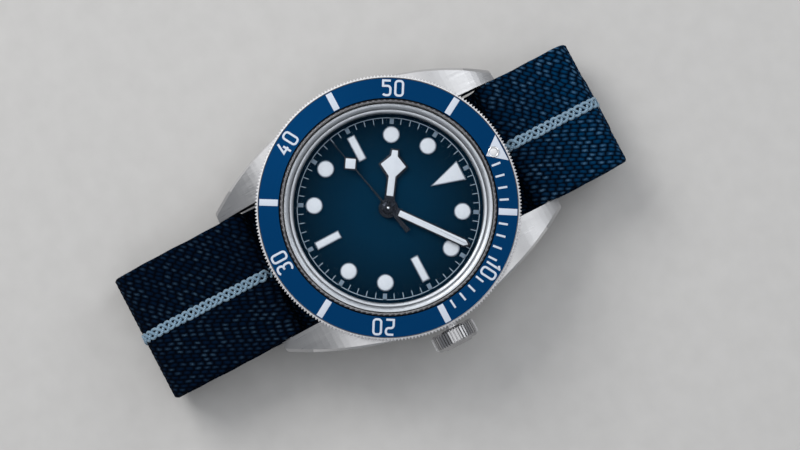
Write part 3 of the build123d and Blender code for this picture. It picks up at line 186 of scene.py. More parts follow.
def rounded_route(corners: list[Pair], radii: list[float], step: float) -> Array:
    """Even points along a route of straight runs joined by tangent arcs.

    At each corner the arc starts a length of radius times the tangent of half the turn before it. The
    raw line is then walked again at even steps of its own length.

    Args:
        corners: Corners of the route.
        radii: Radius of the arc at each inner corner.
        step: Wanted distance between points.

    Returns:
        Points along the route, one to a row.
    """
    points = [np.array([corners[0]], float)]
    for before, corner, after, radius in zip(corners, corners[1:], corners[2:], radii):
        here = np.array(corner, float)
        into = here - before
        out = np.array(after, float) - here
        into /= np.linalg.norm(into)
        out /= np.linalg.norm(out)
        turn = math.atan2(into[0] * out[1] - into[1] * out[0], float(into @ out))
        reach = radius * math.tan(abs(turn) / 2)
        side = math.copysign(1.0, turn) * np.array([-into[1], into[0]])
        middle = here - reach * into + radius * side
        angles = np.linspace(0, turn, max(3, int(abs(turn) / 0.08)))[:, None]
        radial = -radius * side
        turned_radial = np.cos(angles) * radial + np.sin(angles) * np.array([-radial[1], radial[0]])
        points.append(middle + turned_radial)
    points.append(np.array([corners[-1]], float))
    raw = np.vstack(points)
    length = np.concatenate([[0.0], np.cumsum(np.linalg.norm(np.diff(raw, axis=0), axis=1))])
    even = np.linspace(0, length[-1], int(length[-1] / step) + 1)
    return np.column_stack([np.interp(even, length, raw[:, 0]), np.interp(even, length, raw[:, 1])])


# ---------------------------------------------------------------- meshes


def grid_faces(rows: int, columns: int, close_rows: bool, close_columns: bool) -> NDArray[np.int64]:
    """Quads between neighbouring rows and columns of a grid of points numbered row by row.

    Args:
        rows: Number of rows.
        columns: Number of points in a row.
        close_rows: Whether the last row joins the first.
        close_columns: Whether the last column joins the first.

    Returns:
        Four point numbers to a row.
    """
    i = np.arange(rows if close_rows else rows - 1)[:, None]
    j = np.arange(columns if close_columns else columns - 1)[None, :]
    next_i = (i + 1) % rows
    next_j = (j + 1) % columns
    corners = [i * columns + j, i * columns + next_j, next_i * columns + next_j, next_i * columns + j]
    return np.stack([np.broadcast_to(c, (i.size, j.size)) for c in corners], axis=-1).reshape(-1, 4)


@dataclass
class Shell:
    """Points and faces of one piece, gathered from its surfaces in millimetres."""

    points: list[Array] = field(default_factory=list)
    faces: list[list[int]] = field(default_factory=list)
    uvs: list[Array] = field(default_factory=list)
    count: int = 0

    def add(self, points: Array, faces: Faces, uv: Array | None = None) -> None:
        """Adds a surface.

        Args:
            points: Its points in space.
            faces: Its faces, as point numbers that start at nought.
            uv: A flat place for each point, where a finish follows the surface.
        """
        rows = faces.tolist() if isinstance(faces, np.ndarray) else faces
        self.faces.extend([[n + self.count for n in row] for row in rows])
        self.points.append(points)
        self.uvs.append(np.zeros((len(points), 2)) if uv is None else uv)
        self.count += len(points)

    def carried(self, points: Array, uv: Array) -> None:
        """Adds a section carried along a route, with both ends capped.

        Args:
            points: Places of the section's points, by step of the route, by point, by axis.
            uv: Their surface coordinates, in the same order.
        """
        rows, count = points.shape[:2]
        faces = grid_faces(rows, count, False, True).tolist()
        faces.append(list(range(count))[::-1])
        faces.append(list(range((rows - 1) * count, rows * count)))
        self.add(points.reshape(-1, 3), faces, uv.reshape(-1, 2))

    def rings(self, rings: list[Array], close: bool = False) -> None:
        """Adds a skin over a stack of rings of equal count, capped at both ends unless it closes."""
        columns = len(rings[0])
        faces = grid_faces(len(rings), columns, close, True).tolist()
        if not close:
            faces.append(list(range(columns))[::-1])
            faces.append(list(range((len(rings) - 1) * columns, len(rings) * columns)))
        self.add(np.vstack(rings), faces)

    def turned(self, profile: Array, count: int = 180) -> None:
        """Adds a closed profile of radius and height turned about the hands' axis.

        A point is radius times the cosine and sine of the angle, and its height.

        Args:
            profile: Corners of the profile, anticlockwise with the radius to the right.
            count: Steps round the axis.
        """
        angle = np.arange(count) * TURN / count
        x = profile[:, :1] * np.cos(angle)
        y = profile[:, :1] * np.sin(angle)
        z = np.broadcast_to(profile[:, 1:], x.shape)
        self.add(np.stack([x, y, z], axis=-1).reshape(-1, 3), grid_faces(len(profile), count, True, True))

    def plate(self, outline: Array, low: float, high: float, bevel: float) -> None:
        """Adds a flat plate whose upper edge is turned down in two steps.

        Args:
            outline: Its plan, anticlockwise.
            low: Height of its underside.
            high: Height of its top.
            bevel: Width and height of the turned edge.
        """
        steps = [(0.0, low), (0.0, high - bevel), (0.3 * bevel, high - 0.3 * bevel), (bevel, high)]
        self.rings([lifted(inset(outline, d) if d else outline, z) for d, z in steps])

    def frame(self, outer: Array, inner: Array, low: float, high: float, bevel: float) -> None:
        """Adds a flat frame between two outlines of equal count, with both upper edges bevelled.

        Args:
            outer: Outer plan, anticlockwise.
            inner: Inner plan, point for point beside the outer one.
            low: Height of its underside.
            high: Height of its top.
            bevel: Width and height of the bevels.
        """
        self.rings(
            [
                lifted(outer, low), lifted(outer, high - bevel), lifted(inset(outer, bevel), high),
                lifted(inset(inner, -bevel), high), lifted(inner, high - bevel), lifted(inner, low),
            ],
            close=True,
        )

    def build(self, name: str, crease: float = 32.0, recalculate: bool = True) -> bpy.types.Object:
        """Makes the object, with its place in its mesh, outward normals and creases at sharp edges.

        Args:
            name: Name of the piece.
            crease: Angle in degrees from which an edge stays sharp.
            recalculate: Whether closed shells need their normals turned outwards.

        Returns:
            The new object.
        """
        mesh = bpy.data.meshes.new(name)
        mesh.from_pydata(np.vstack(self.points) * MM, [], self.faces)
        mesh.update()
        layer = mesh.uv_layers.new(name="surface")
        corner = np.empty(len(mesh.loops), np.int32)
        mesh.loops.foreach_get("vertex_index", corner)
        layer.data.foreach_set("uv", np.vstack(self.uvs)[corner].astype(np.float32).ravel())
        if recalculate:
            work = bmesh.new()
            work.from_mesh(mesh)
            bmesh.ops.recalc_face_normals(work, faces=work.faces)
            work.to_mesh(mesh)
            work.free()
        mesh.shade_smooth()
        mesh.set_sharp_from_angle(angle=math.radians(crease))
        piece = bpy.data.objects.new(name, mesh)
        bpy.context.scene.collection.objects.link(piece)
        return piece


def lifted(flat: Array, height: float | Array) -> Array:
    """Flat points given a height, the same for all or one each."""
    return np.column_stack([flat, np.broadcast_to(height, len(flat))])


def extent(node: str) -> tuple[Vector, Vector]:
    """Lowest and highest corners of a CAD node's box, in millimetres."""
    low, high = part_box(node)
    return low / MM, high / MM


def merged_copy(node: str, name: str) -> bpy.types.Object:
    """A new piece with a CAD node's shape, its place in its mesh and its loose triangles joined.

    Args:
        node: The CAD node.
        name: Name of the new piece.

    Returns:
        The new object, with the CAD node's material slots still on its copied mesh.
    """
    source = frame["nodes"][node]
    mesh = source.data.copy()
    mesh.transform(source.matrix_world)
    work = bmesh.new()
    work.from_mesh(mesh)
    bmesh.ops.remove_doubles(work, verts=work.verts, dist=JOIN_DISTANCE * MM)
    work.to_mesh(mesh)
    work.free()
    piece = bpy.data.objects.new(name, mesh)
    bpy.context.scene.collection.objects.link(piece)
    return piece


def face_values(mesh: bpy.types.Mesh, name: str) -> Array:
    """A vector of every face, such as its normal or its centre, one to a row."""
    values = np.empty(len(mesh.polygons) * 3, np.float32)
    mesh.polygons.foreach_get(name, values)
    return values.reshape(-1, 3).astype(float)


def cut_away(piece: bpy.types.Object, cutter: bpy.types.Object, solver: str) -> None:
    """Takes a cutter's shape out of a piece for good, and removes the cutter.

    Args:
        piece: The piece that is cut.
        cutter: What is taken out of it.
        solver: Which of the Boolean solvers does it.
    """
    cut = piece.modifiers.new("cut", "BOOLEAN")
    cut.operation = "DIFFERENCE"
    cut.solver = solver
    cut.object = cutter
    shape = bpy.data.meshes.new_from_object(piece.evaluated_get(bpy.context.evaluated_depsgraph_get()))
    piece.modifiers.clear()
    piece.data = shape
    bpy.data.objects.remove(cutter)


def crisp(piece: bpy.types.Object) -> None:
    """Shades a piece smoothly between its sharp edges, with its largest faces kept flat."""
    piece.data.shade_smooth()
    piece.data.set_sharp_from_angle(angle=math.radians(SHARP_ANGLE))
    weighted = piece.modifiers.new("weighted", "WEIGHTED_NORMAL")
    weighted.keep_sharp = True


def along_hand(points: Array, clockwise: float) -> Array:
    """Points drawn along +X turned to lie along a hand that stands at a clockwise angle from 12."""
    return placed(points, (0.0, 0.0), 90 - clockwise)


# ---------------------------------------------------------------- finishes


class Grain(Enum):
    """How a metal's surface was worked."""

    POLISHED = "polished"
    BRUSHED_LENGTHWAYS = "brushed lengthways"
    TURNED = "turned"
    BLASTED = "blasted"


class Recipe:
    """A node material in the making: one Principled shader and the nodes that feed it."""

    def __init__(self, name: str) -> None:
        """Starts a material with its shader."""
        self.material = bpy.data.materials.new(name)
        self.material.use_nodes = True
        self.tree = self.material.node_tree
        self.shader = self.tree.nodes["Principled BSDF"]

    def add(self, kind: str, links: dict | None = None, **settings) -> bpy.types.Node:
        """Adds a node.

        Args:
            kind: Its type without the ShaderNode prefix.
            links: Sockets or values by input name or number.
            settings: Properties of the node itself.

        Returns:
            The new node.
        """
        node = self.tree.nodes.new("ShaderNode" + kind)
        for name, value in settings.items():
            setattr(node, name, value)
        for key, value in (links or {}).items():
            if isinstance(value, Socket):
                self.tree.links.new(value, node.inputs[key])
            else:
                node.inputs[key].default_value = value
        return node

    def radius(self) -> Socket:
        """Distance of a point from the hands' axis, in metres."""
        flat = self.place((1.0, 1.0, 0.0))
        return self.add("VectorMath", {0: flat}, operation="LENGTH").outputs["Value"]

    def scaled(self, vector: Socket, scale: float) -> Socket:
        """A vector times a number."""
        return self.add("VectorMath", {0: vector, "Scale": scale}, operation="SCALE").outputs["Vector"]

    def feed(self, name: str, socket: Socket) -> None:
        """Links a socket to one of the shader's inputs."""
        self.tree.links.new(socket, self.shader.inputs[name])

    def fix(self, **values: float | tuple) -> None:
        """Sets plain values on the shader's own sockets, with underscores for spaces in their names."""
        for name, value in values.items():
            self.shader.inputs[name.replace("_", " ")].default_value = value

    def place(self, scale: Scale = (1.0, 1.0, 1.0), uv: bool = False, turn: float = 0.0) -> Socket:
        """Object or surface coordinates, scaled and turned by a Mapping node.

        Args:
            scale: Scale on each axis.
            uv: Whether to read the surface's own flat place instead of the object's.
            turn: Turn about Z in degrees.

        Returns:
            The vector socket.
        """
        source = self.add("TexCoord").outputs["UV" if uv else "Object"]
        links = {"Vector": source, "Scale": scale, "Rotation": (0.0, 0.0, math.radians(turn))}
        return self.add("Mapping", links).outputs["Vector"]

    def noise(self, vector: Socket, scale: float, detail: float = 2.0) -> Socket:
        """Noise from 0 to 1 at a scale."""
        return self.add("TexNoise", {"Vector": vector, "Scale": scale, "Detail": detail}).outputs["Fac"]

    def span(self, value: Socket, low: float, high: float, source: Pair = (0.3, 0.7)) -> Socket:
        """A value carried from one range to another, held at its ends."""
        ends = {"From Min": source[0], "From Max": source[1], "To Min": low, "To Max": high}
        return self.add("MapRange", {"Value": value, **ends}).outputs["Result"]

    def compute(self, operation: str, first: Term, second: Term | None = None) -> Socket:
        """One step of arithmetic between values or value sockets."""
        links = {0: first} if second is None else {0: first, 1: second}
        return self.add("Math", links, operation=operation).outputs["Value"]

    def blend(self, share: Socket, first: Colour | Socket, second: Colour | Socket) -> Socket:
        """A mix of two colours or colour sockets."""
        node = self.add("Mix", data_type="RGBA")
        self.tree.links.new(share, node.inputs["Factor"])
        for key, value in (("A", first), ("B", second)):
            target = next(s for s in node.inputs if s.name == key and s.type == "RGBA")
            if isinstance(value, Socket):
                self.tree.links.new(value, target)
            else:
                target.default_value = (*value, 1.0)
        return next(s for s in node.outputs if s.type == "RGBA")

    def relief(self, height: Socket, distance: float, strength: float = 1.0) -> None:
        """Feeds a bump of a given depth in millimetres to the shader."""
        links = {"Height": height, "Distance": distance * MM, "Strength": strength}
        self.feed("Normal", self.add("Bump", links).outputs["Normal"])


def linear(red: int, green: int, blue: int) -> Colour:
    """A screen colour from 0 to 255 as a linear one."""
    shares = np.array([red, green, blue]) / 255
    low = shares / 12.92
    high = ((shares + 0.055) / 1.055) ** 2.4
    return tuple(float(v) for v in np.where(shares <= 0.04045, low, high))


@dataclass(frozen=True)
class Metal:
    """A bare or plated metal with a worked surface."""

    name: str
    colour: Colour
    roughness: float
    grain: Grain
    depth: float = 0.004
    brushing: Scale = (16000.0, 260.0, 40.0)
    blasting: Scale = (5000.0, 5000.0, 5000.0)
    turning: float = 14000.0
    dimming: float = 0.92

    def material(self) -> bpy.types.Material:
        """Builds the metal: fine lines or grains in its roughness, colour and bump.

        Returns:
            The finished material.
        """
        recipe = Recipe(self.name)
        if self.grain is Grain.BRUSHED_LENGTHWAYS:
            where = recipe.place(self.brushing)
        elif self.grain is Grain.TURNED:
            rings = recipe.add("CombineXYZ", {"X": recipe.radius()}).outputs["Vector"]
            where = recipe.scaled(rings, self.turning)
        else:
            where = recipe.place(self.blasting)
        fine = recipe.noise(where, 1.0, 3.0)
        broad = recipe.noise(recipe.place(), 160.0)
        spread = 0.35 if self.grain is Grain.POLISHED else 0.25
        rough = recipe.span(fine, self.roughness * (1 - spread), self.roughness * (1 + spread))
        smear = recipe.span(broad, 0.9, 1.12)
        recipe.feed("Roughness", recipe.compute("MULTIPLY", rough, smear))
        dim = tuple(c * self.dimming for c in self.colour)
        recipe.feed("Base Color", recipe.blend(recipe.span(fine, 0.0, 1.0), dim, self.colour))
        recipe.fix(Metallic=1.0)
        recipe.relief(fine, self.depth * (0.25 if self.grain is Grain.POLISHED else 1.0), 0.5)
        return recipe.material


@dataclass(frozen=True)
class Coat:
    """Paint, lacquer, anodising, rubber or another solid colour with a fine grain."""

    name: str
    colour: Colour
    edge_colour: Colour
    roughness: float
    grain_size: float = 0.05
    depth: float = 0.002
    metallic: float = 0.0
    gloss: float = 0.0
    specular: float = 0.3
    shade_radii: tuple[float, float] = (0.0, 0.0)

    def material(self) -> bpy.types.Material:
        """Builds the coat: a fine grain, and, where shade radii are given, painted shade that darkens it
        from its own colour to the edge colour by radius.

        Returns:
            The finished material.
        """
        recipe = Recipe(self.name)
        where = recipe.place()
        fine = recipe.noise(where, 1 / (self.grain_size * MM), 3.0)
        share = recipe.span(fine, 0.0, 1.0)
        # Painted shade: the colour darkens towards the edge colour between the two radii.
        if self.shade_radii[1] > 0:
            share = recipe.span(recipe.radius(), 0.0, 1.0, (self.shade_radii[0] * MM, self.shade_radii[1] * MM))
        recipe.feed("Base Color", recipe.blend(share, self.colour, self.edge_colour))
        recipe.feed("Roughness", recipe.span(fine, self.roughness * 0.85, self.roughness * 1.15))
        recipe.fix(Metallic=self.metallic, Coat_Weight=self.gloss, Coat_Roughness=0.08)
        recipe.fix(Specular_IOR_Level=self.specular)
        recipe.relief(fine, self.depth, 0.6)
        return recipe.material


@dataclass(frozen=True)
class ClearCrystal:
    """Sapphire: clear, with a mirror gloss that grows towards its edge."""

    name: str
    tint: Colour = (0.97, 0.985, 1.0)
    index: float = 1.45
    coating: float = 0.015

    def material(self) -> bpy.types.Material:
        """Builds the crystal: a Transparent shader with a gloss mixed over it by Fresnel's law.

        Returns:
            The finished material.
        """
        recipe = Recipe(self.name)
        recipe.tree.nodes.remove(recipe.shader)
        clear = recipe.add("BsdfTransparent", {"Color": (*self.tint, 1.0)})
        mirror = recipe.add("BsdfGlossy", {"Color": (1.0, 1.0, 1.0, 1.0)})
        smear = recipe.noise(recipe.place(), 90.0)
        recipe.tree.links.new(recipe.span(smear, 0.01, 0.035), mirror.inputs["Roughness"])
        grazing = recipe.add("Fresnel", {"IOR": self.index}).outputs["Fac"]
        share = recipe.compute("MULTIPLY", grazing, self.coating)
        mixed = recipe.add("MixShader", {0: share, 1: clear.outputs["BSDF"], 2: mirror.outputs["BSDF"]})
        output = recipe.tree.nodes["Material Output"]
        recipe.tree.links.new(mixed.outputs["Shader"], output.inputs["Surface"])
        return recipe.material


@dataclass(frozen=True)
class WovenBand:
    """Navy webbing whose short yarn floats lie in slanted rows, at one slant on each side of the stripe."""

    name: str
    ground: Colour
    yarn: Colour
    glint: Colour
    float_length: float
    row_pitch: float
    slants: tuple[float, float]
    wobble: float = 0.35
    dull_share: float = 0.35
    sharpness: float = 3.0
    # Painted light: the yarn turns to this lighter, bluer colour towards 12 o'clock, where the band faces
    # the light.
    painted_light_tint: Colour = linear(0, 52, 88)
    painted_light_y: tuple[float, float] = (16.0, 34.0)

    def floats(self, recipe: Recipe, slant: float) -> tuple[Socket, Socket]:
        """Height of the floats on one side, and how much each one glints.

        The turned surface is cut into rows, and each row, shifted by its own random share, into floats. A
        float's height is the sine of pi times its share across the row times the same along it.

        Args:
            recipe: The material in the making.
            slant: Angle of the rows to the width of the band, in degrees.

        Returns:
            The height socket and the glint socket, both from 0 to 1.
        """
        surface = recipe.place(uv=True)
        wobble = recipe.add("TexNoise", {"Vector": surface, "Scale": 1.3, "Detail": 3.0}).outputs["Color"]
        sway = recipe.scaled(wobble, self.wobble)
        moved = recipe.add("VectorMath", {0: recipe.place(uv=True, turn=slant), 1: sway})
        split = recipe.add("SeparateXYZ", {0: moved.outputs["Vector"]})
        rows = recipe.compute("DIVIDE", split.outputs["Y"], self.row_pitch)
        row = recipe.compute("FLOOR", rows)
        shift = recipe.add("TexWhiteNoise", {"W": row}, noise_dimensions="1D").outputs["Value"]
        lengths = recipe.compute("DIVIDE", split.outputs["X"], self.float_length)
        cells = recipe.compute("ADD", lengths, shift)
        cell = recipe.compute("FLOOR", cells)
        humps = []
        for value, start in ((rows, row), (cells, cell)):
            share = recipe.compute("SUBTRACT", value, start)
            humps.append(recipe.compute("SINE", recipe.compute("MULTIPLY", share, math.pi)))
        height = recipe.compute("MULTIPLY", *humps)
        address = recipe.add("CombineXYZ", {"X": row, "Y": cell}).outputs["Vector"]
        chance = recipe.add("TexWhiteNoise", {"Vector": address}, noise_dimensions="2D").outputs["Value"]
        lucky = recipe.span(chance, 0.0, 1.0, (self.dull_share, 1.0))
        return height, recipe.compute("MULTIPLY", lucky, recipe.compute("POWER", height, self.sharpness))

    def material(self) -> bpy.types.Material:
        """Builds the weave: dark ground, floats with painted glints on their crests, and painted light that
        makes the band lighter and bluer towards 12 o'clock.

        Returns:
            The finished material.
        """
        recipe = Recipe(self.name)
        across = recipe.add("SeparateXYZ", {0: recipe.place(uv=True)}).outputs["X"]
        side = recipe.compute("GREATER_THAN", across, 0.0)
        other = recipe.compute("SUBTRACT", 1.0, side)
        sockets = []
        for left, right in zip(self.floats(recipe, self.slants[0]), self.floats(recipe, self.slants[1])):
            here = recipe.compute("MULTIPLY", left, other)
            there = recipe.compute("MULTIPLY", right, side)
            sockets.append(recipe.compute("ADD", here, there))
        height, glint = sockets
        thread = recipe.noise(recipe.place((9.0, 9.0, 9.0), uv=True), 1.0, 3.0)
        patch = recipe.noise(recipe.place((0.16, 0.16, 0.16), uv=True), 1.0, 2.0)
        # Painted light: a share that grows towards 12 o'clock lightens and blues the yarn there and dims
        # the painted glints away from it.
        object_y = recipe.add("SeparateXYZ", {0: recipe.place()}).outputs["Y"]
        lit_share = recipe.span(object_y, 0.0, 1.0, (self.painted_light_y[0] * MM, self.painted_light_y[1] * MM))
        # The glint colour is a painted highlight on the floats' crests, broken up by the thread and patch
        # noise.
        broken = recipe.compute("MULTIPLY", glint, recipe.span(thread, 0.1, 1.0, (0.35, 0.6)))
        patched = recipe.compute("MULTIPLY", broken, recipe.span(patch, 0.3, 1.0, (0.35, 0.65)))
        shown = recipe.compute("MULTIPLY", patched, recipe.span(lit_share, 0.3, 1.0, (0.0, 1.0)))
        tint = recipe.blend(lit_share, self.yarn, self.painted_light_tint)
        body = recipe.blend(recipe.span(height, 0.0, 1.0, (0.0, 0.9)), self.ground, tint)
        recipe.feed("Base Color", recipe.blend(shown, body, self.glint))
        recipe.fix(Roughness=0.9, Specular_IOR_Level=0.03)
        fuzz = recipe.compute("MULTIPLY", thread, 0.4)
        recipe.relief(recipe.compute("ADD", height, fuzz), 0.14, 0.9)
        return recipe.material


@dataclass(frozen=True)
class Yarn:
    """The stripe's pale twisted yarn, whose plies slant across each strand."""

    name: str
    colour: Colour
    shade: Colour

    def material(self) -> bpy.types.Material:
        """Builds the yarn from slanted bands along each strand's own length.

        Returns:
            The finished material.
        """
        recipe = Recipe(self.name)
        where = recipe.place(uv=True, turn=35.0)
        plies = recipe.add("TexWave", {"Vector": where, "Scale": 1.1, "Distortion": 1.2}).outputs["Fac"]
        tone = recipe.noise(recipe.place(uv=True), 0.8)
        light = recipe.blend(recipe.span(tone, 0.0, 0.5), self.colour, self.shade)
        recipe.feed("Base Color", recipe.blend(recipe.span(plies, 0.0, 0.5, (0.0, 1.0)), self.shade, light))
        recipe.fix(Roughness=0.7, Sheen_Weight=0.25, Sheen_Roughness=0.4)
        recipe.relief(plies, 0.05, 0.6)
        return recipe.material


Finish = Metal | Coat | ClearCrystal | WovenBand | Yarn

SATIN_STEEL = Metal("satin_steel", (0.52, 0.52, 0.53), 0.36, Grain.BRUSHED_LENGTHWAYS, depth=0.002)
POLISHED_STEEL = Metal("polished_steel", (0.74, 0.74, 0.75), 0.12, Grain.POLISHED, depth=0.0)
SOFT_STEEL = Metal("soft_steel", (0.56, 0.56, 0.57), 0.44, Grain.POLISHED, depth=0.0)
PLAIN_STEEL = Metal("plain_steel", (0.55, 0.55, 0.56), 0.3, Grain.BLASTED)
# Darker polished steel for the crown: painted shade on the crown's side of the watch.
SHADED_CROWN_STEEL = Metal("shaded_crown_steel", (0.42, 0.42, 0.43), 0.14, Grain.POLISHED, depth=0.0)
# Near-black steel: painted shade on the wall between the lugs and on the bezel's lip and seat.
PAINTED_SHADE_STEEL = Metal("painted_shade_steel", (0.15, 0.15, 0.16), 0.35, Grain.POLISHED, depth=0.0)
BLUED_STEEL = Metal("blued_steel", (0.02, 0.06, 0.22), 0.22, Grain.POLISHED)
GILT_BRASS = Metal("gilt_brass", (0.80, 0.58, 0.26), 0.26, Grain.TURNED)
PLATED_BRASS = Metal("plated_brass", (0.60, 0.59, 0.57), 0.34, Grain.TURNED)
TUNGSTEN = Metal("tungsten", (0.32, 0.32, 0.33), 0.4, Grain.TURNED)
DARK_METAL = Metal("dark_metal", (0.022, 0.024, 0.030), 0.3, Grain.POLISHED)
# Dark blue-grey steel for the hour marks' polished frames: painted dark reflection.
REFLECTION_DARKENED_STEEL = Metal("reflection_darkened_steel", (0.20, 0.23, 0.27), 0.3, Grain.POLISHED)
# Near-white coat: painted highlight on the bezel's coin edge.
PAINTED_HIGHLIGHT_EDGE = Coat(
    "painted_highlight_edge", linear(240, 240, 243), linear(228, 228, 232), 0.35,
    depth=0.0, metallic=0.2, specular=0.4,
)
BLUE_INSERT = Coat(
    "blue_insert", linear(0, 50, 92), linear(0, 46, 86), 0.34, depth=0.001, metallic=0.7, specular=0.05,
)
# Darker towards the edge: painted shade from the ring round the dial.
BLUE_DIAL = Coat(
    "blue_dial", linear(0, 40, 62), linear(0, 22, 36), 0.5, depth=0.001, specular=0.02, shade_radii=(5.0, 13.4),
)
LUME = Coat(
    "lume", linear(226, 227, 230), linear(208, 210, 214), 0.8, grain_size=0.12, depth=0.01, specular=0.1,
)
PRINT = Coat("pale_print", linear(168, 182, 194), linear(150, 164, 178), 0.6, specular=0.1)
PALE_FILL = Coat("pale_fill", linear(206, 214, 226), linear(190, 198, 212), 0.6, specular=0.1)
GREY_PRINT = Coat("grey_print", linear(124, 138, 150), linear(108, 122, 136), 0.6, specular=0.1)
RUBBER = Coat("black_rubber", (0.012, 0.012, 0.013), (0.02, 0.02, 0.02), 0.7)
RUBY = Coat("ruby", (0.45, 0.01, 0.05), (0.62, 0.02, 0.08), 0.12, gloss=0.6)
PALE_FLOOR = Coat("floor", (0.52, 0.515, 0.51), (0.50, 0.495, 0.49), 0.6, grain_size=3.0)
SAPPHIRE = ClearCrystal("sapphire")
# The third colour is the painted highlight on the floats' crests.
WEBBING = WovenBand(
    "navy_webbing", linear(0, 2, 7), linear(2, 18, 38), linear(104, 142, 170),
    float_length=1.3, row_pitch=0.62, slants=(45.0, 65.0),
)
STRIPE_YARN = Yarn("stripe_yarn", linear(204, 228, 238), linear(82, 118, 146))


# ---------------------------------------------------------------- bezel


@dataclass
class Bezel:
    """The turning bezel: a coin-edged ring, and an insert with its minute scale and a luminous pearl."""

    inner_r: float = 16.0
    outer_r: float = 18.92
    drop: float = 0.35
    raised: float = 0.03
    digit_height: float = 2.5
    digit_width: float = 1.42
    digit_gap: float = 0.5
    narrow_pitch: float = 1.05
    stroke_width: float = 0.32
    corner_r: float = 0.42
    kern: float = 0.1
    narrow_shift: float = 0.35
    baton_width: float = 0.95
    baton_margin: float = 0.2
    tick_width: float = 0.3
    tick_length: float = 1.35
    tick_gap: float = 0.25
    triangle: tuple[float, float, float] = (2.1, 16.1, 18.75)
    pearl_y: float = 17.35
    pearl_r: float = 0.83
    edge_r: float = 19.07
    painted_light_depth: float = 2.2
    mark_edge: float = 0.03
    sunk: float = 0.05

    def __post_init__(self) -> None:
        """Reads the insert's top from its CAD node."""
        self.top = level("bezel_insert")

    def surface(self, points: Array) -> Array:
        """Height of the insert's cone over flat points: its top less an even fall with the radius."""
        radius = np.hypot(points[:, 0], points[:, 1])
        return self.top - self.drop * (radius - self.inner_r) / (self.outer_r - self.inner_r)

    def mark(self, shell: Shell, outline: Array) -> None:
        """Adds a thin raised mark that follows the insert's cone."""
        base = self.surface(outline)
        edge = inset(outline, self.mark_edge)
        shell.rings([lifted(outline, base - self.sunk), lifted(outline, base + 0.6 * self.raised),
                     lifted(edge, self.surface(edge) + self.raised)])

    def digit(self, figure: int) -> list[Array]:
        """Pen paths of a figure in a narrow, square-shouldered hand.

        Args:
            figure: The figure to draw.

        Returns:
            One or more paths, with the origin at the figure's middle.
        """
        w = (self.digit_width - self.stroke_width) / 2
        h = (self.digit_height - self.stroke_width) / 2
        r = self.corner_r
        top_right = arc((w - r, h - r), (r, r), 90, 0, 7)
        top_left = arc((-w + r, h - r), (r, r), 180, 90, 7)
        low_right = arc((w - r, -h + r), (r, r), 0, -90, 7)
        low_left = arc((-w + r, -h + r), (r, r), -90, -180, 7)
        if figure == 0:
            loop = np.vstack([top_left, top_right, low_right, low_left])
            return [np.vstack([loop, loop[:1]])]
        if figure == 1:
            flagged_stem = np.array([[-0.75 * w, h - 0.35], [0.0, h - 0.08], [0.0, -h]])
            return [flagged_stem, np.array([[0.0, h + 0.1], [0.0, h - 0.5]])]
        if figure == 2:
            bend = arc((w - r, 0.12 + r), (r, r), 0, -90, 7)
            back = arc((-w + r, 0.12 - r), (r, r), 90, 180, 7)
            head = [[-w, h - 0.02], [w - r, h - 0.02]]
            return [np.vstack([head, top_right[1:], bend, back, [[-w, -h], [w, -h]]])]
        if figure == 3:
            upper = arc((w - r, 0.1 + r), (r, r), 0, -90, 7)
            lower = arc((w - r, -r + 0.1), (r, r), 90, 0, 7)
            head = np.vstack([top_left[2:], top_right, upper, [[-0.25 * w, 0.1]]])
            return [head, np.vstack([[[-0.25 * w, 0.1]], lower, low_right, low_left[:-2]])]
        if figure == 4:
            slope_and_bar = np.array([[0.1, h], [-w, -0.35 * h], [w, -0.35 * h]])
            return [slope_and_bar, np.array([[0.45 * w, 0.25], [0.45 * w, -h]])]
        shoulder = arc((w - r, 0.3 - r), (r, r), 90, 0, 7)
        return [np.vstack([[[w, h]], [[-w, h]], [[-w, 0.3]], shoulder, low_right, low_left[:-2]])]

    def numeral(self, shell: Shell, minutes: int) -> None:
        """Adds a number whose figures stand with their tops outwards."""
        pitch = self.digit_width + self.digit_gap - self.kern
        middle = (self.inner_r + self.outer_r) / 2
        narrow = (-self.narrow_pitch + self.kern, self.narrow_shift)
        left, right = narrow if minutes == 10 else (-pitch / 2, pitch / 2)
        for place, figure in ((left, minutes // 10), (right, minutes % 10)):
            for path in self.digit(figure):
                standing = placed(stroke(path, self.stroke_width), (place, 0.0), 0)
                self.mark(shell, at_minute(standing, middle, minutes))

    def build(self) -> None:
        """Builds the scale and the pearl, and dresses the ring and the insert."""
        scale = Shell()
        middle = (self.inner_r + self.outer_r) / 2
        full = self.outer_r - self.inner_r - self.baton_margin
        for minutes in range(5, 60, 10):
            self.mark(scale, at_minute(rectangle(self.baton_width, full), middle, minutes))
        for minutes in range(10, 60, 10):
            self.numeral(scale, minutes)
        reach = self.inner_r + self.tick_gap + self.tick_length / 2
        for minutes in (m for m in range(1, 15) if m % 5):
            self.mark(scale, at_minute(rectangle(self.tick_width, self.tick_length), reach, minutes))
        half, apex, base = self.triangle
        self.mark(scale, np.array([[0.0, apex], [half, base], [-half, base]]))
        piece = scale.build("bezel_scale")
        dress(piece, PALE_FILL, "bezel")
        self.pearl()
        self.ring()
        finish_node("bezel_insert", BLUE_INSERT)

    def ring(self) -> None:
        """Builds the ring from its CAD node: polished steel, a painted highlight on the coin edge, and
        painted shade on the lip and the seat beside the insert.
        """
        piece = merged_copy("bezel_ring", "bezel_ring_finished")
        dress(piece, POLISHED_STEEL, "bezel")
        piece.data.materials.append(material_of(PAINTED_SHADE_STEEL))
        piece.data.materials.append(material_of(PAINTED_HIGHLIGHT_EDGE))
        centres = face_values(piece.data, "center") / MM
        radius = np.hypot(centres[:, 0], centres[:, 1])
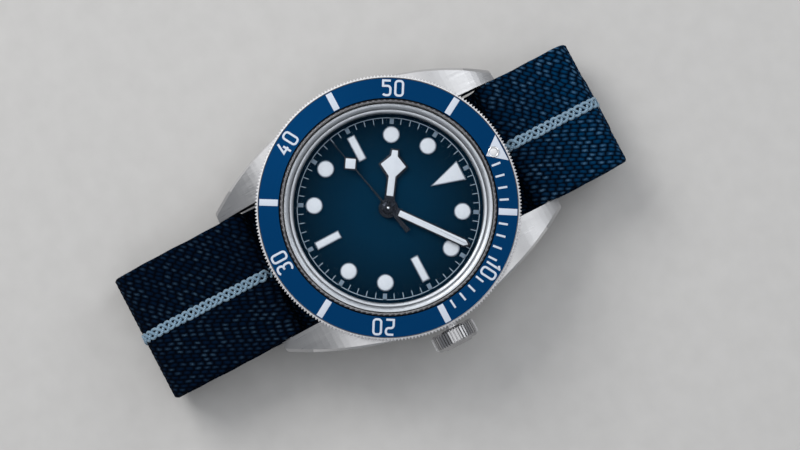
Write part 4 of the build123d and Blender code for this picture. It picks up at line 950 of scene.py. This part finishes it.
        # Painted light: the top's faces inside the coin edge get painted shade, and those on the coin edge
        # a painted highlight.
        high = centres[:, 2] > self.top - self.painted_light_depth
        lip_shade = high & (radius < self.edge_r)
        bright = high & (radius >= self.edge_r)
        piece.data.polygons.foreach_set("material_index", (lip_shade + 2 * bright).astype(np.int32))
        crisp(piece)
        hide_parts("bezel_ring")

    def pearl(self) -> None:
        """Builds the pearl: a rolled steel cup and a domed luminous filling."""
        top = level("bezel_pearl")
        low = level("bezel_pearl", top=False)
        cup = Shell()
        outer = circle((0.0, self.pearl_y), self.pearl_r, 48)
        steps = (
            (0.0, low), (0.0, top - 0.1), (0.05, top - 0.02), (0.14, top), (0.24, top - 0.05), (0.27, low),
        )
        cup.rings(stepped(outer, steps), close=True)
        cup_piece = cup.build("bezel_pearl_cup", crease=60)
        dress(cup_piece, POLISHED_STEEL, "bezel")
        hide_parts("bezel_pearl")
        dot = Shell()
        steps = ((0.28, low + 0.02), (0.28, top - 0.14), (0.34, top - 0.08), (0.5, top - 0.03), (0.7, top))
        dot.rings(stepped(outer, steps))
        dress(dot.build("bezel_pearl_dot", crease=60), LUME, "bezel")


# ---------------------------------------------------------------- case


@dataclass
class CaseBody:
    """The middle case: brushed tops, polished flanks, a polished bevel along each lug's outer edge, and
    painted shade on the wall between the lugs.
    """

    flank: tuple[tuple[float, float], ...] = ((18.75, 1.0), (17.15, 10.0), (11.78, 22.65))
    bevel: float = 0.32
    first_y: float = 6.5
    last_y: float = 23.5
    growth: float = 5.0
    overshoot: float = 0.15
    start_share: float = 0.1
    wedge_size: float = 0.7
    ray_inset: float = 0.06
    edge_steps: int = 40
    side_nz: float = 0.3
    bevel_nx: float = 0.45
    # Faces within this half width and beyond this distance along the case get painted shade.
    gap_half: float = 10.05
    wall_y: float = 15.0

    def flank_x(self, y: Array) -> Array:
        """Half width of the case at a distance along it, on the circle through the flank's three points."""
        (ax, ay), (bx, by), (cx, cy) = self.flank
        turned = 2 * (ax * (by - cy) + bx * (cy - ay) + cx * (ay - by))
        a, b, c = ax * ax + ay * ay, bx * bx + by * by, cx * cx + cy * cy
        x0 = (a * (by - cy) + b * (cy - ay) + c * (ay - by)) / turned
        y0 = (a * (cx - bx) + b * (ax - cx) + c * (bx - ax)) / turned
        return x0 + np.sqrt((ax - x0) ** 2 + (ay - y0) ** 2 - (y - y0) ** 2)

    def edge(self, piece: bpy.types.Object) -> Array:
        """Corner points of one lug's outer top edge, found by casting rays down just inside the flank.

        Args:
            piece: The case.

        Returns:
            The edge's points in space, one to a row, from the bezel outwards.
        """
        y = np.linspace(self.first_y, self.last_y, self.edge_steps)
        x = self.flank_x(y)
        high = level("mid_case") + 1
        heights = []
        for px, py in zip(x, y):
            above = Vector((px - self.ray_inset, py, high)) * MM
            hit, place, _, _ = piece.ray_cast(above, Vector((0.0, 0.0, -1.0)))
            heights.append(place.z / MM if hit else 2 * heights[-1] - heights[-2])
        return np.column_stack([x, y, heights])

    def cutter(self, edge: Array) -> bpy.types.Object:
        """Builds the four wedges that take the corners off the lugs' outer edges.

        A wedge's section is a triangle: two corners lie on the bevel's plane, a little past the case's top
        and its flank, and the third stands out in the open. The bevel grows evenly from nothing beside the
        bezel to its full width.

        Args:
            edge: The corner points of one lug.

        Returns:
            The wedges' object.
        """
        along = np.gradient(edge[:, :2], axis=0)
        along /= np.linalg.norm(along, axis=1, keepdims=True)
        out = np.column_stack([along[:, 1], -along[:, 0], np.zeros(len(edge))])
        up = np.array([0.0, 0.0, 1.0])
        slide = self.overshoot
        b = self.bevel * (np.clip((edge[:, 1:2] - self.first_y) / self.growth, 0, 1) - self.start_share)
        far = self.wedge_size * (out + up)
        section = [-(b + slide) * out + slide * up, far, slide * out - (b + slide) * up]
        shell = Shell()
        for sx, sy in ((1, 1), (-1, 1), (-1, -1), (1, -1)):
            corners = np.stack([edge + step for step in section], axis=1) * (sx, sy, 1)
            shell.rings(list(corners))
        return shell.build("wedges")

    def build(self) -> None:
        """Builds the bevelled case from a copy of its CAD node."""
        piece = merged_copy("mid_case", "mid_case_finished")
        bpy.context.view_layer.update()
        cut_away(piece, self.cutter(self.edge(piece)), "EXACT")
        shape = piece.data
        dress(piece, SATIN_STEEL, "case")
        piece.data.materials.append(material_of(POLISHED_STEEL))
        piece.data.materials.append(material_of(PAINTED_SHADE_STEEL))
        normals = face_values(shape, "normal")
        centres = np.abs(face_values(shape, "center")) / MM
        beyond = centres[:, 1] > self.first_y
        inner_line = self.flank_x(np.minimum(centres[:, 1], self.last_y)) - 2 * self.bevel
        outer = beyond & (centres[:, 0] > inner_line)
        upright = np.abs(normals[:, 2]) < self.side_nz
        polished = upright | ((np.abs(normals[:, 0]) > self.bevel_nx) & outer)
        # Painted shade: the wall between the lugs and the lugs' inner faces take the near-black steel.
        shaded = (centres[:, 0] < self.gap_half) & (centres[:, 1] > self.wall_y)
        shape.polygons.foreach_set("material_index", np.where(shaded, 2, polished).astype(np.int32))
        crisp(piece)
        shape.polygons.foreach_set("use_smooth", upright)
        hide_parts("mid_case")


# ---------------------------------------------------------------- dial


@dataclass
class DialFace:
    """The dial: its printed minute track, and the applied hour marks with their luminous filling."""

    track_r: float = 13.45
    tick_length: float = 0.95
    line: float = 0.1
    bar_width: float = 0.6
    ink: float = 0.012
    ink_edge: float = 0.002
    dot_r: float = 1.27
    dot_reach: float = 10.9
    baton: tuple[float, float] = (4.0, 1.28)
    baton_reach: float = 10.0
    triangle: tuple[float, float, float] = (6.95, 12.15, 3.2)
    rim_width: float = 0.15
    rim_edge: float = 0.04
    opening_r: float = 13.95
    crease_r: float = 14.42

    def __post_init__(self) -> None:
        """Reads the dial's top and the marks' heights from their CAD nodes."""
        self.top = level("dial")
        self.rim_top = level("hour_marker_rims")
        self.lume_top = level("hour_marker_lume")

    def outlines(self) -> list[Array]:
        """Plans of the twelve hour marks, anticlockwise."""
        plans = []
        for hour in range(1, 12):
            if hour % 3 == 0:
                plans.append(at_minute(rectangle(self.baton[1], self.baton[0]), self.baton_reach, 5 * hour))
            else:
                plans.append(at_minute(circle((0.0, 0.0), self.dot_r, 48), self.dot_reach, 5 * hour))
        apex, base, width = self.triangle
        plans.append(np.array([[0.0, apex], [width / 2, base], [-width / 2, base]]))
        return plans

    def build(self) -> None:
        """Builds the track and the marks, and dresses the dial."""
        track = Shell()
        low, high = self.top - 0.01, self.top + self.ink
        edge = circle((0.0, 0.0), self.track_r, 240)
        track.frame(edge, inset(edge, self.line), low, high, self.ink_edge)
        reach = self.track_r - self.tick_length / 2
        for minute in (m for m in range(60) if m % 5):
            tick = at_minute(rectangle(self.line, self.tick_length), reach, minute)
            track.plate(tick, low, high, self.ink_edge)
        dress(track.build("minute_track"), PRINT, "case")
        bars = Shell()
        for minute in range(0, 60, 5):
            bar = at_minute(rectangle(self.bar_width, self.tick_length), reach, minute)
            bars.plate(bar, low, high, self.ink_edge)
        dress(bars.build("five_minute_bars"), GREY_PRINT, "case")
        rims, lume = Shell(), Shell()
        filled = self.lume_top
        steps = ((0.0, self.top + 0.01), (0.0, filled - 0.05), (0.05, filled), (0.12, filled + 0.02))
        for plan in self.outlines():
            window = inset(plan, self.rim_width)
            rims.frame(plan, window, self.top, self.rim_top, self.rim_edge)
            lume.rings(stepped(window, steps))
        rim_piece = rims.build("hour_mark_rims")
        # The frames' dark blue-grey colour is a painted dark reflection on polished steel.
        dress(rim_piece, REFLECTION_DARKENED_STEEL, "case")
        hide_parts("hour_marker_rims")
        lume_piece = lume.build("hour_mark_lume")
        dress(lume_piece, LUME, "case")
        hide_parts("hour_marker_lume")
        self.rehaut()

    def rehaut(self) -> None:
        """Builds the ring round the dial: a low wall, a bright bevel, a fine crease and a shoulder."""
        low, high = extent("flange_ring")
        outer = high.x
        bevel = arc((self.crease_r, high.z - 0.75), (self.crease_r - self.opening_r, 0.3), 180, 90, 7)
        shoulder = arc((outer, high.z - 0.62), (outer - self.crease_r - 0.05, 0.62), 180, 90, 9)
        ring = Shell()
        ring.turned(np.vstack([[outer, low.z], shoulder[::-1], bevel[::-1], [self.opening_r, low.z]]), 240)
        piece = ring.build("flange_ring_rounded", crease=40)
        dress(piece, SOFT_STEEL, "case")
        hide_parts("flange_ring")


# ---------------------------------------------------------------- hands


@dataclass
class Hand:
    """One hand: a bevelled metal frame, its luminous filling and its hub."""

    name: str
    body: str
    clockwise: float
    blade: tuple[tuple[float, float], ...]
    window: tuple[tuple[float, float], ...]
    hub_r: float
    tube_r: float

    def mirrored(self, half: tuple[tuple[float, float], ...]) -> Array:
        """A closed anticlockwise outline from one half, mirrored about the hand's own length."""
        upper = np.array(half)
        lower = upper[upper[:, 1] > 0] * (1, -1)
        return np.vstack([lower, upper[::-1]])

    def build(self) -> None:
        """Builds the hand's pieces over the CAD's."""
        top = level(self.name)
        low = level(self.name, top=False)
        metal = Shell()
        blade = along_hand(self.mirrored(self.blade), self.clockwise)
        metal.plate(blade, low, top - 0.06, 0.05)
        outer = circle((0.0, 0.0), self.hub_r, 64)
        inner = circle((0.0, 0.0), self.tube_r, 64)
        metal.frame(outer, inner, low, top, 0.05)
        rim = along_hand(self.mirrored(self.window), self.clockwise)
        piece = metal.build(self.name + "_metal")
        dress(piece, DARK_METAL, self.body)
        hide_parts(self.name)
        lume = Shell()
        steps = ((0.0, low + 0.05), (0.0, top - 0.03), (0.05, top), (0.14, top + 0.02))
        lume.rings(stepped(rim, steps))
        filling = lume.build(self.name + "_filling")
        dress(filling, LUME, self.body)
        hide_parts(self.name + "_lume")


@dataclass
class SecondsHand:
    """The seconds hand: a needle with a square luminous plot set cornerwise, a flared tail and a pin."""

    clockwise: float = 257.3
    reach: float = 8.55
    side: float = 1.9
    tip: float = 13.4
    tail: float = 4.5
    thickness: float = 0.2
    rim: float = 0.21
    hub_r: float = 0.95
    pin_r: float = 0.2

    def build(self) -> None:
        """Builds the needle, its plot and the pin at the hub."""
        low = level("seconds_hand", top=False)
        top = low + self.thickness
        metal = Shell()
        needle = np.array([[0.0, -0.17], [self.tip, -0.07], [self.tip, 0.07], [0.0, 0.17],
                           [-self.tail, 0.42], [-self.tail, -0.42]])
        metal.plate(along_hand(needle, self.clockwise), low, top, 0.05)
        square = placed(rectangle(self.side, self.side), (self.reach, 0.0), 45)
        metal.plate(along_hand(square, self.clockwise), low + 0.01, top + 0.01, 0.05)
        hub = circle((0.0, 0.0), self.hub_r, 64)
        steps = (
            (0.0, low - 0.01), (0.0, top - 0.03), (0.08, top + 0.03), (0.5, top + 0.08), (0.58, top + 0.2),
            (0.7, top + 0.23),
        )
        metal.rings(stepped(hub, steps))
        piece = metal.build("seconds_hand_metal")
        dress(piece, DARK_METAL, "seconds_train")
        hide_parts("seconds_hand")
        plot = Shell()
        window = self.side - 2 * self.rim
        inner = placed(rectangle(window, window), (self.reach, 0.0), 45)
        plot.plate(along_hand(inner, self.clockwise), low + 0.05, top + 0.03, 0.05)
        filling = plot.build("seconds_hand_filling")
        dress(filling, LUME, "seconds_train")
        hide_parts("seconds_hand_lume")
        pin = Shell()
        spot = circle((0.0, 0.0), self.pin_r, 24)
        pin.rings(stepped(spot, ((0.0, top), (0.0, top + 0.24), (0.05, top + 0.28), (0.12, top + 0.3))))
        dress(pin.build("seconds_arbor_pin", crease=60), POLISHED_STEEL, "seconds_train")


# ---------------------------------------------------------------- strap


@dataclass
class Strap:
    """The one-piece woven strap, buckled in a flat loop, with its pale plaited stripe."""

    half_width: float = 9.9
    thickness: float = 1.2
    step: float = 0.3
    columns: int = 84
    back_columns: int = 14
    edge_round: float = 0.25
    bar_y: float = 21.6
    bar_bend: float = 1.6
    tip_r: float = 6.0
    hole_y: float = -14.9
    hole_pitch: float = 7.0
    holes: int = 6
    hole_half: float = 0.5
    hole_r: float = 1.3
    hole_z: Pair = (-0.5, 2.08)
    slot: Pair = (2.6, 5.6)
    slot_shift: float = 0.4
    slot_z: Pair = (2.1, 6.12)
    gap: float = 0.05
    keeper_floor: float = 0.8
    frame_rise: float = 1.55
    buckle_bar_r: float = 0.75
    right_end: float = 35.2
    plait_half: float = 0.62
    plait_period: float = 3.0
    strand_r: float = 0.23
    strand_step: float = 0.15
    pressed: float = 0.3

    def route(self) -> Array:
        """Middle line of the band in Y and Z, from its folded end to its tip."""
        low, high = extent("strap")
        bars_low, bars_high = extent("spring_bars")
        half = self.thickness / 2
        bar_z = (bars_low.z + bars_high.z) / 2
        crest = bar_z + self.bar_bend
        passing = level("case_back", top=False) - self.gap - half
        tail_z = self.keeper_floor + self.gap + half
        inner_z = tail_z + self.thickness + self.gap
        fold_z = inner_z + self.thickness + self.gap
        over_bar = level("buckle_frame", top=False) + self.frame_rise + half
        bar_low, bar_high = extent("buckle_bar")
        buckle_y, buckle_z = (bar_low.y + bar_high.y) / 2, (bar_low.z + bar_high.z) / 2
        bend = self.buckle_bar_r + self.gap + half
        pass_y = self.bar_y - self.bar_bend
        right = self.right_end - half
        left = low.y + half
        far_y = extent("buckle_frame")[0].y
        corners = [
            (-2.3, fold_z), (buckle_y + 3.7, fold_z), (buckle_y + 1.6, buckle_z + bend),
            (buckle_y - bend, buckle_z + bend), (buckle_y - bend, inner_z), (right, inner_z),
            (right, bar_z + 1.17), (pass_y, crest), (pass_y, passing), (-pass_y, passing), (-pass_y, crest),
            (left, bar_z + 0.37), (left, half), (far_y - 1.9, half), (far_y - 0.2, over_bar),
            (far_y + 2.1, over_bar), (far_y + 4.0, tail_z), (high.y, tail_z),
        ]
        b = self.bar_bend
        radii = [0.6, 0.6, bend - 0.02, bend - 0.02, 2.9, 2.9, b, b, b, b, 3.1, 2.2, 0.8, 0.8, 0.8, 0.8]
        return rounded_route(corners, radii, self.step)

    def normals(self, route: Array) -> Array:
        """Unit vectors to the outer side of the band: its right hand along the route."""
        along = np.gradient(route, axis=0)
        along /= np.linalg.norm(along, axis=1, keepdims=True)
        return np.column_stack([along[:, 1], -along[:, 0]])

    def relief(self, across: Array, length: Array) -> Array:
        """Height of the yarn floats: a product of two cosines in coordinates turned to the rows' slant.

        Args:
            across: Places across the band, with the stripe at nought.
            length: Places along it.

        Returns:
            Heights from -1 to 1, in the shape of the two arguments together.
        """
        slant = np.radians(np.where(across > 0, WEBBING.slants[1], WEBBING.slants[0]))
        along = across * np.cos(slant) - length * np.sin(slant)
        beside = across * np.sin(slant) + length * np.cos(slant)
        return np.cos(TURN * along / WEBBING.float_length) * np.cos(math.pi * beside / WEBBING.row_pitch)

    def band(self) -> bpy.types.Object:
        """Builds the band: a rounded flat section carried along the route.

        Returns:
            The band's object.
        """
        route = self.route()
        outward = self.normals(route)
        rows = len(route)
        length = np.arange(rows) * self.step
        half = self.thickness / 2
        edge = self.half_width
        flat = edge - self.edge_round
        outer = np.linspace(-flat, flat, self.columns)
        inner = np.linspace(flat, -flat, self.back_columns)
        across = np.concatenate([outer, [edge, edge], inner, [-edge, -edge]])
        height = np.concatenate([np.full(outer.size, half), [0.55 * half, -0.55 * half],
                                 np.full(inner.size, -half), [-0.55 * half, 0.55 * half]])
        x = np.broadcast_to(across, (rows, across.size)).copy()
        away = length[-1] - length
        inside = np.clip(self.tip_r - away, 0, None)
        corner = self.tip_r - np.sqrt(np.clip(self.tip_r**2 - inside**2, 0, None))
        x *= ((self.half_width - corner) / self.half_width)[:, None]
        soft = 0.05 * np.sin(length * 0.9) * np.sin(length * 0.37 + 1.0)
        x *= 1 + soft[:, None] / self.half_width
        lift = np.broadcast_to(height, x.shape).copy()
        is_outer = np.arange(across.size) < outer.size
        waves = 0.045 * self.relief(x, length[:, None]) - 0.045
        channel = 0.12 * np.exp(-((x / 0.9) ** 4))
        lift += np.where(is_outer[None, :], waves - channel, 0.0)
        y = route[:, :1] + outward[:, :1] * lift
        z = route[:, 1:] + outward[:, 1:] * lift
        points = np.stack([x, y, z], axis=-1)
        shell = Shell()
        shell.carried(points, np.stack([x, np.broadcast_to(length[:, None], x.shape)], axis=-1))
        piece = shell.build("strap_band", crease=70)
        self.pierce(piece)
        dress(piece, WEBBING, "case")
        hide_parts("strap")
        return piece

    def pierce(self, band: bpy.types.Object) -> None:
        """Cuts the tail's slotted holes and the fold's slot for the tongue with slot-shaped punches."""
        punch = Shell()
        for number in range(self.holes):
            middle = self.hole_y + number * self.hole_pitch
            far, near = (0.0, middle + self.hole_half), (0.0, middle - self.hole_half)
            round_r = (self.hole_r, self.hole_r)
            ends = np.vstack([arc(far, round_r, 0, 180, 17), arc(near, round_r, 180, 360, 17)])
            punch.rings([lifted(ends, height) for height in self.hole_z])
        low, high = extent("buckle_bar")
        slot = placed(rectangle(*self.slot), (0.0, (low.y + high.y) / 2 - self.slot_shift), 0)
        punch.rings([lifted(slot, height) for height in self.slot_z])
        cut_away(band, punch.build("punch"), "FAST")

    def stripe(self, outer: bool) -> bpy.types.Object:
        """Builds the plait on one face: three strands that swing from side to side a third of a turn apart.

        A strand's place across is the half width of the plait times the sine of its phase, and its height
        is the sine of twice the phase, so that each passes over the next. A product of two slow sines
        loosens the phase, and the plait is pressed flatter where the buckle lies over it.

        Args:
            outer: Whether it lies on the outer face or the inner one.

        Returns:
            The stripe's object.
        """
        raw = self.route()
        fine = np.arange(0.0, len(raw) - 1, self.strand_step / self.step)
        route = np.column_stack([np.interp(fine, np.arange(len(raw)), raw[:, k]) for k in (0, 1)])
        outward = self.normals(route) * (1 if outer else -1)
        rows = len(route)
        length = np.arange(rows) * self.strand_step
        low, high = extent("buckle_frame")
        under = (route[:, 0] > low.y - 1) & (route[:, 0] < high.y + 1)
        press = np.convolve(np.where(under, self.pressed, 0.0), np.full(9, 1 / 9), mode="same")
        shell = Shell()
        round_count = 6
        spin = np.arange(round_count) * TURN / round_count
        for strand in range(3):
            loose = 0.25 * np.sin(1.7 * length + 2.1 * strand) * np.sin(0.61 * length + strand)
            phase = TURN * (length / self.plait_period + strand / 3) + loose
            middle = self.plait_half * (1 + 0.5 * loose) * np.sin(phase)
            height = self.thickness / 2 + 0.02 + 0.1 * np.sin(2 * phase) - press
            slope = np.gradient(middle, self.strand_step)
            stretch = np.sqrt(1 + slope**2)
            side = self.strand_r * np.cos(spin)[None, :]
            x = middle[:, None] + side * stretch[:, None] * 0.95
            lift = height[:, None] + 0.8 * self.strand_r * np.sin(spin)[None, :]
            y = route[:, :1] + outward[:, :1] * lift
            z = route[:, 1:] + outward[:, 1:] * lift
            points = np.stack([x, y, z], axis=-1)
            around = np.broadcast_to(np.arange(round_count) * 0.2, x.shape)
            uv = np.stack([around, np.broadcast_to(length[:, None], x.shape) * 3], axis=-1)
            shell.carried(points, uv)
        piece = shell.build("strap_stripe_outer" if outer else "strap_stripe_inner", crease=80)
        dress(piece, STRIPE_YARN, "case")
        return piece

    def build(self) -> None:
        band = self.band()
        stripes = [self.stripe(True), self.stripe(False)]
        run = (len(self.route()) - 1) * self.step * MM
        log.info("strap cut length %.1f mm", run / MM)


# ---------------------------------------------------------------- dressing


_made: dict[str, bpy.types.Material] = {}


def material_of(finish: Finish) -> bpy.types.Material:
    """The finish's material, made once."""
    if finish.name not in _made:
        _made[finish.name] = finish.material()
    return _made[finish.name]


def dress(piece: bpy.types.Object, finish: Finish, body: str) -> None:
    """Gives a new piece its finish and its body.

    Args:
        piece: The new piece.
        finish: Its finish.
        body: The CAD body that it rides on.
    """
    piece.data.materials.clear()
    piece.data.materials.append(material_of(finish))
    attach(piece, body)
    log.info("%s: %d faces", piece.name, len(piece.data.polygons))


def finish_node(node: str, finish: Finish) -> None:
    """Gives a CAD node's every material slot a finish."""
    piece = frame["nodes"][node]
    for slot in piece.material_slots:
        slot.material = material_of(finish)


SLOT_FINISHES = {
    "satin_steel": SATIN_STEEL, "polished_steel": POLISHED_STEEL, "plain_steel": PLAIN_STEEL,
    "blued_steel": BLUED_STEEL, "black_rubber": RUBBER, "blue_insert": BLUE_INSERT, "blue_dial": BLUE_DIAL,
    "sapphire": SAPPHIRE, "dark_rims": DARK_METAL, "lume": LUME, "gilt_brass": GILT_BRASS,
    "plated_brass": PLATED_BRASS, "ruby": RUBY, "tungsten": TUNGSTEN, "navy_webbing": WEBBING,
}


def dress_nodes() -> None:
    """Gives every CAD node the finish of its own slot in the record."""
    for entry in frame["record"]["subparts"]:
        finish_node(entry["node"], SLOT_FINISHES[entry["material_slot"]])


# ---------------------------------------------------------------- studio


@dataclass
class Studio:
    """The pale floor, the soft lights and the camera."""

    floor_half: float = 1.5
    distance: float = 350.0
    lens: float = 108.2
    tilt: float = 3.3
    aim: tuple[float, float] = (3.1, 0.3)
    right: tuple[float, float] = (0.466, 0.885)

    def floor(self) -> None:
        """Builds a wide floor just under the watch."""
        low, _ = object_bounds()
        mesh = bpy.data.meshes.new("floor")
        corners = rectangle(2 * self.floor_half, 2 * self.floor_half)
        mesh.from_pydata(lifted(corners, low[2] - FLOOR_DROP * MM).tolist(), [], [(0, 1, 2, 3)])
        floor = bpy.data.objects.new("floor", mesh)
        bpy.context.scene.collection.objects.link(floor)
        floor.data.materials.append(material_of(PALE_FLOOR))
        floor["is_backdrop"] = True

    def lamp(self, name: str, place: Scale, size: float, power: float, colour: Colour) -> None:
        """Adds a square area light aimed at the watch.

        Args:
            name: Name of the light.
            place: Where it stands, in metres.
            size: Its side in metres.
            power: Its power in watts.
            colour: Its colour.
        """
        data = bpy.data.lights.new(name, "AREA")
        data.size = size
        data.energy = power
        data.color = colour
        lamp = bpy.data.objects.new(name, data)
        lamp.location = place
        lamp.rotation_euler = (Vector((0.0, 0.0, 0.01)) - Vector(place)).to_track_quat("-Z", "Y").to_euler()
        bpy.context.scene.collection.objects.link(lamp)

    def camera(self) -> None:
        """Places the camera over the watch, tilted slightly towards the crown's side."""
        height = level("bezel_insert")
        aim = Vector((*self.aim, height)) * MM
        right = Vector((*self.right, 0.0)).normalized()
        down = Vector((right.y, -right.x, 0.0))
        angle = math.radians(self.tilt)
        back = (down * math.sin(angle) + Vector((0.0, 0.0, 1.0)) * math.cos(angle)).normalized()
        up = back.cross(right).normalized()
        data = bpy.data.cameras.new("camera")
        data.lens = self.lens
        data.sensor_width = 36.0
        data.clip_start = 0.01
        camera = bpy.data.objects.new("camera", data)
        turned = Matrix((right, up, back)).transposed().to_4x4()
        camera.matrix_world = Matrix.Translation(aim + back * self.distance * MM) @ turned
        bpy.context.scene.collection.objects.link(camera)
        bpy.context.scene.camera = camera

    def build(self) -> None:
        """Builds the whole stage."""
        self.floor()
        self.camera()
        self.lamp("key", (-0.50, -0.16, 0.50), 0.40, 3.3, (1.0, 0.985, 0.96))
        self.lamp("overhead", (0.0, 0.0, 0.80), 0.80, 2.2, (1.0, 1.0, 1.0))
        self.lamp("back", (-0.15, 0.50, 0.40), 0.35, 0.9, (0.97, 0.985, 1.0))
        world = bpy.data.worlds.new("studio")
        world.use_nodes = True
        sky = world.node_tree.nodes["Background"]
        sky.inputs["Color"].default_value = (0.80, 0.83, 0.87, 1.0)
        sky.inputs["Strength"].default_value = 0.36
        bpy.context.scene.world = world
        bpy.context.scene.view_settings.view_transform = "Standard"


HOUR_HAND = Hand(
    "hour_hand", "hour_train", 304.4,
    ((0.6, 0.78), (4.45, 0.78), (6.35, 2.25), (7.95, 0.72), (8.85, 0.66)),
    ((1.85, 0.5), (4.75, 0.5), (6.35, 1.86), (7.75, 0.48), (8.6, 0.42)), 1.45, 1.05,
)
MINUTE_HAND = Hand(
    "minute_hand", "minute_train", 52.3,
    ((0.6, 0.66), (12.4, 0.66), (13.35, 0.04)), ((1.75, 0.44), (12.25, 0.44), (12.8, 0.04)), 1.2, 0.72,
)


def main() -> None:
    logging.basicConfig(level=logging.INFO, format="%(name)s: %(message)s")
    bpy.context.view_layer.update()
    dress_nodes()
    finish_node("crown", SHADED_CROWN_STEEL)
    CaseBody().build()
    Bezel().build()
    DialFace().build()
    HOUR_HAND.build()
    MINUTE_HAND.build()
    SecondsHand().build()
    Strap().build()
    Studio().build()


if __name__ == "__main__":
    main()
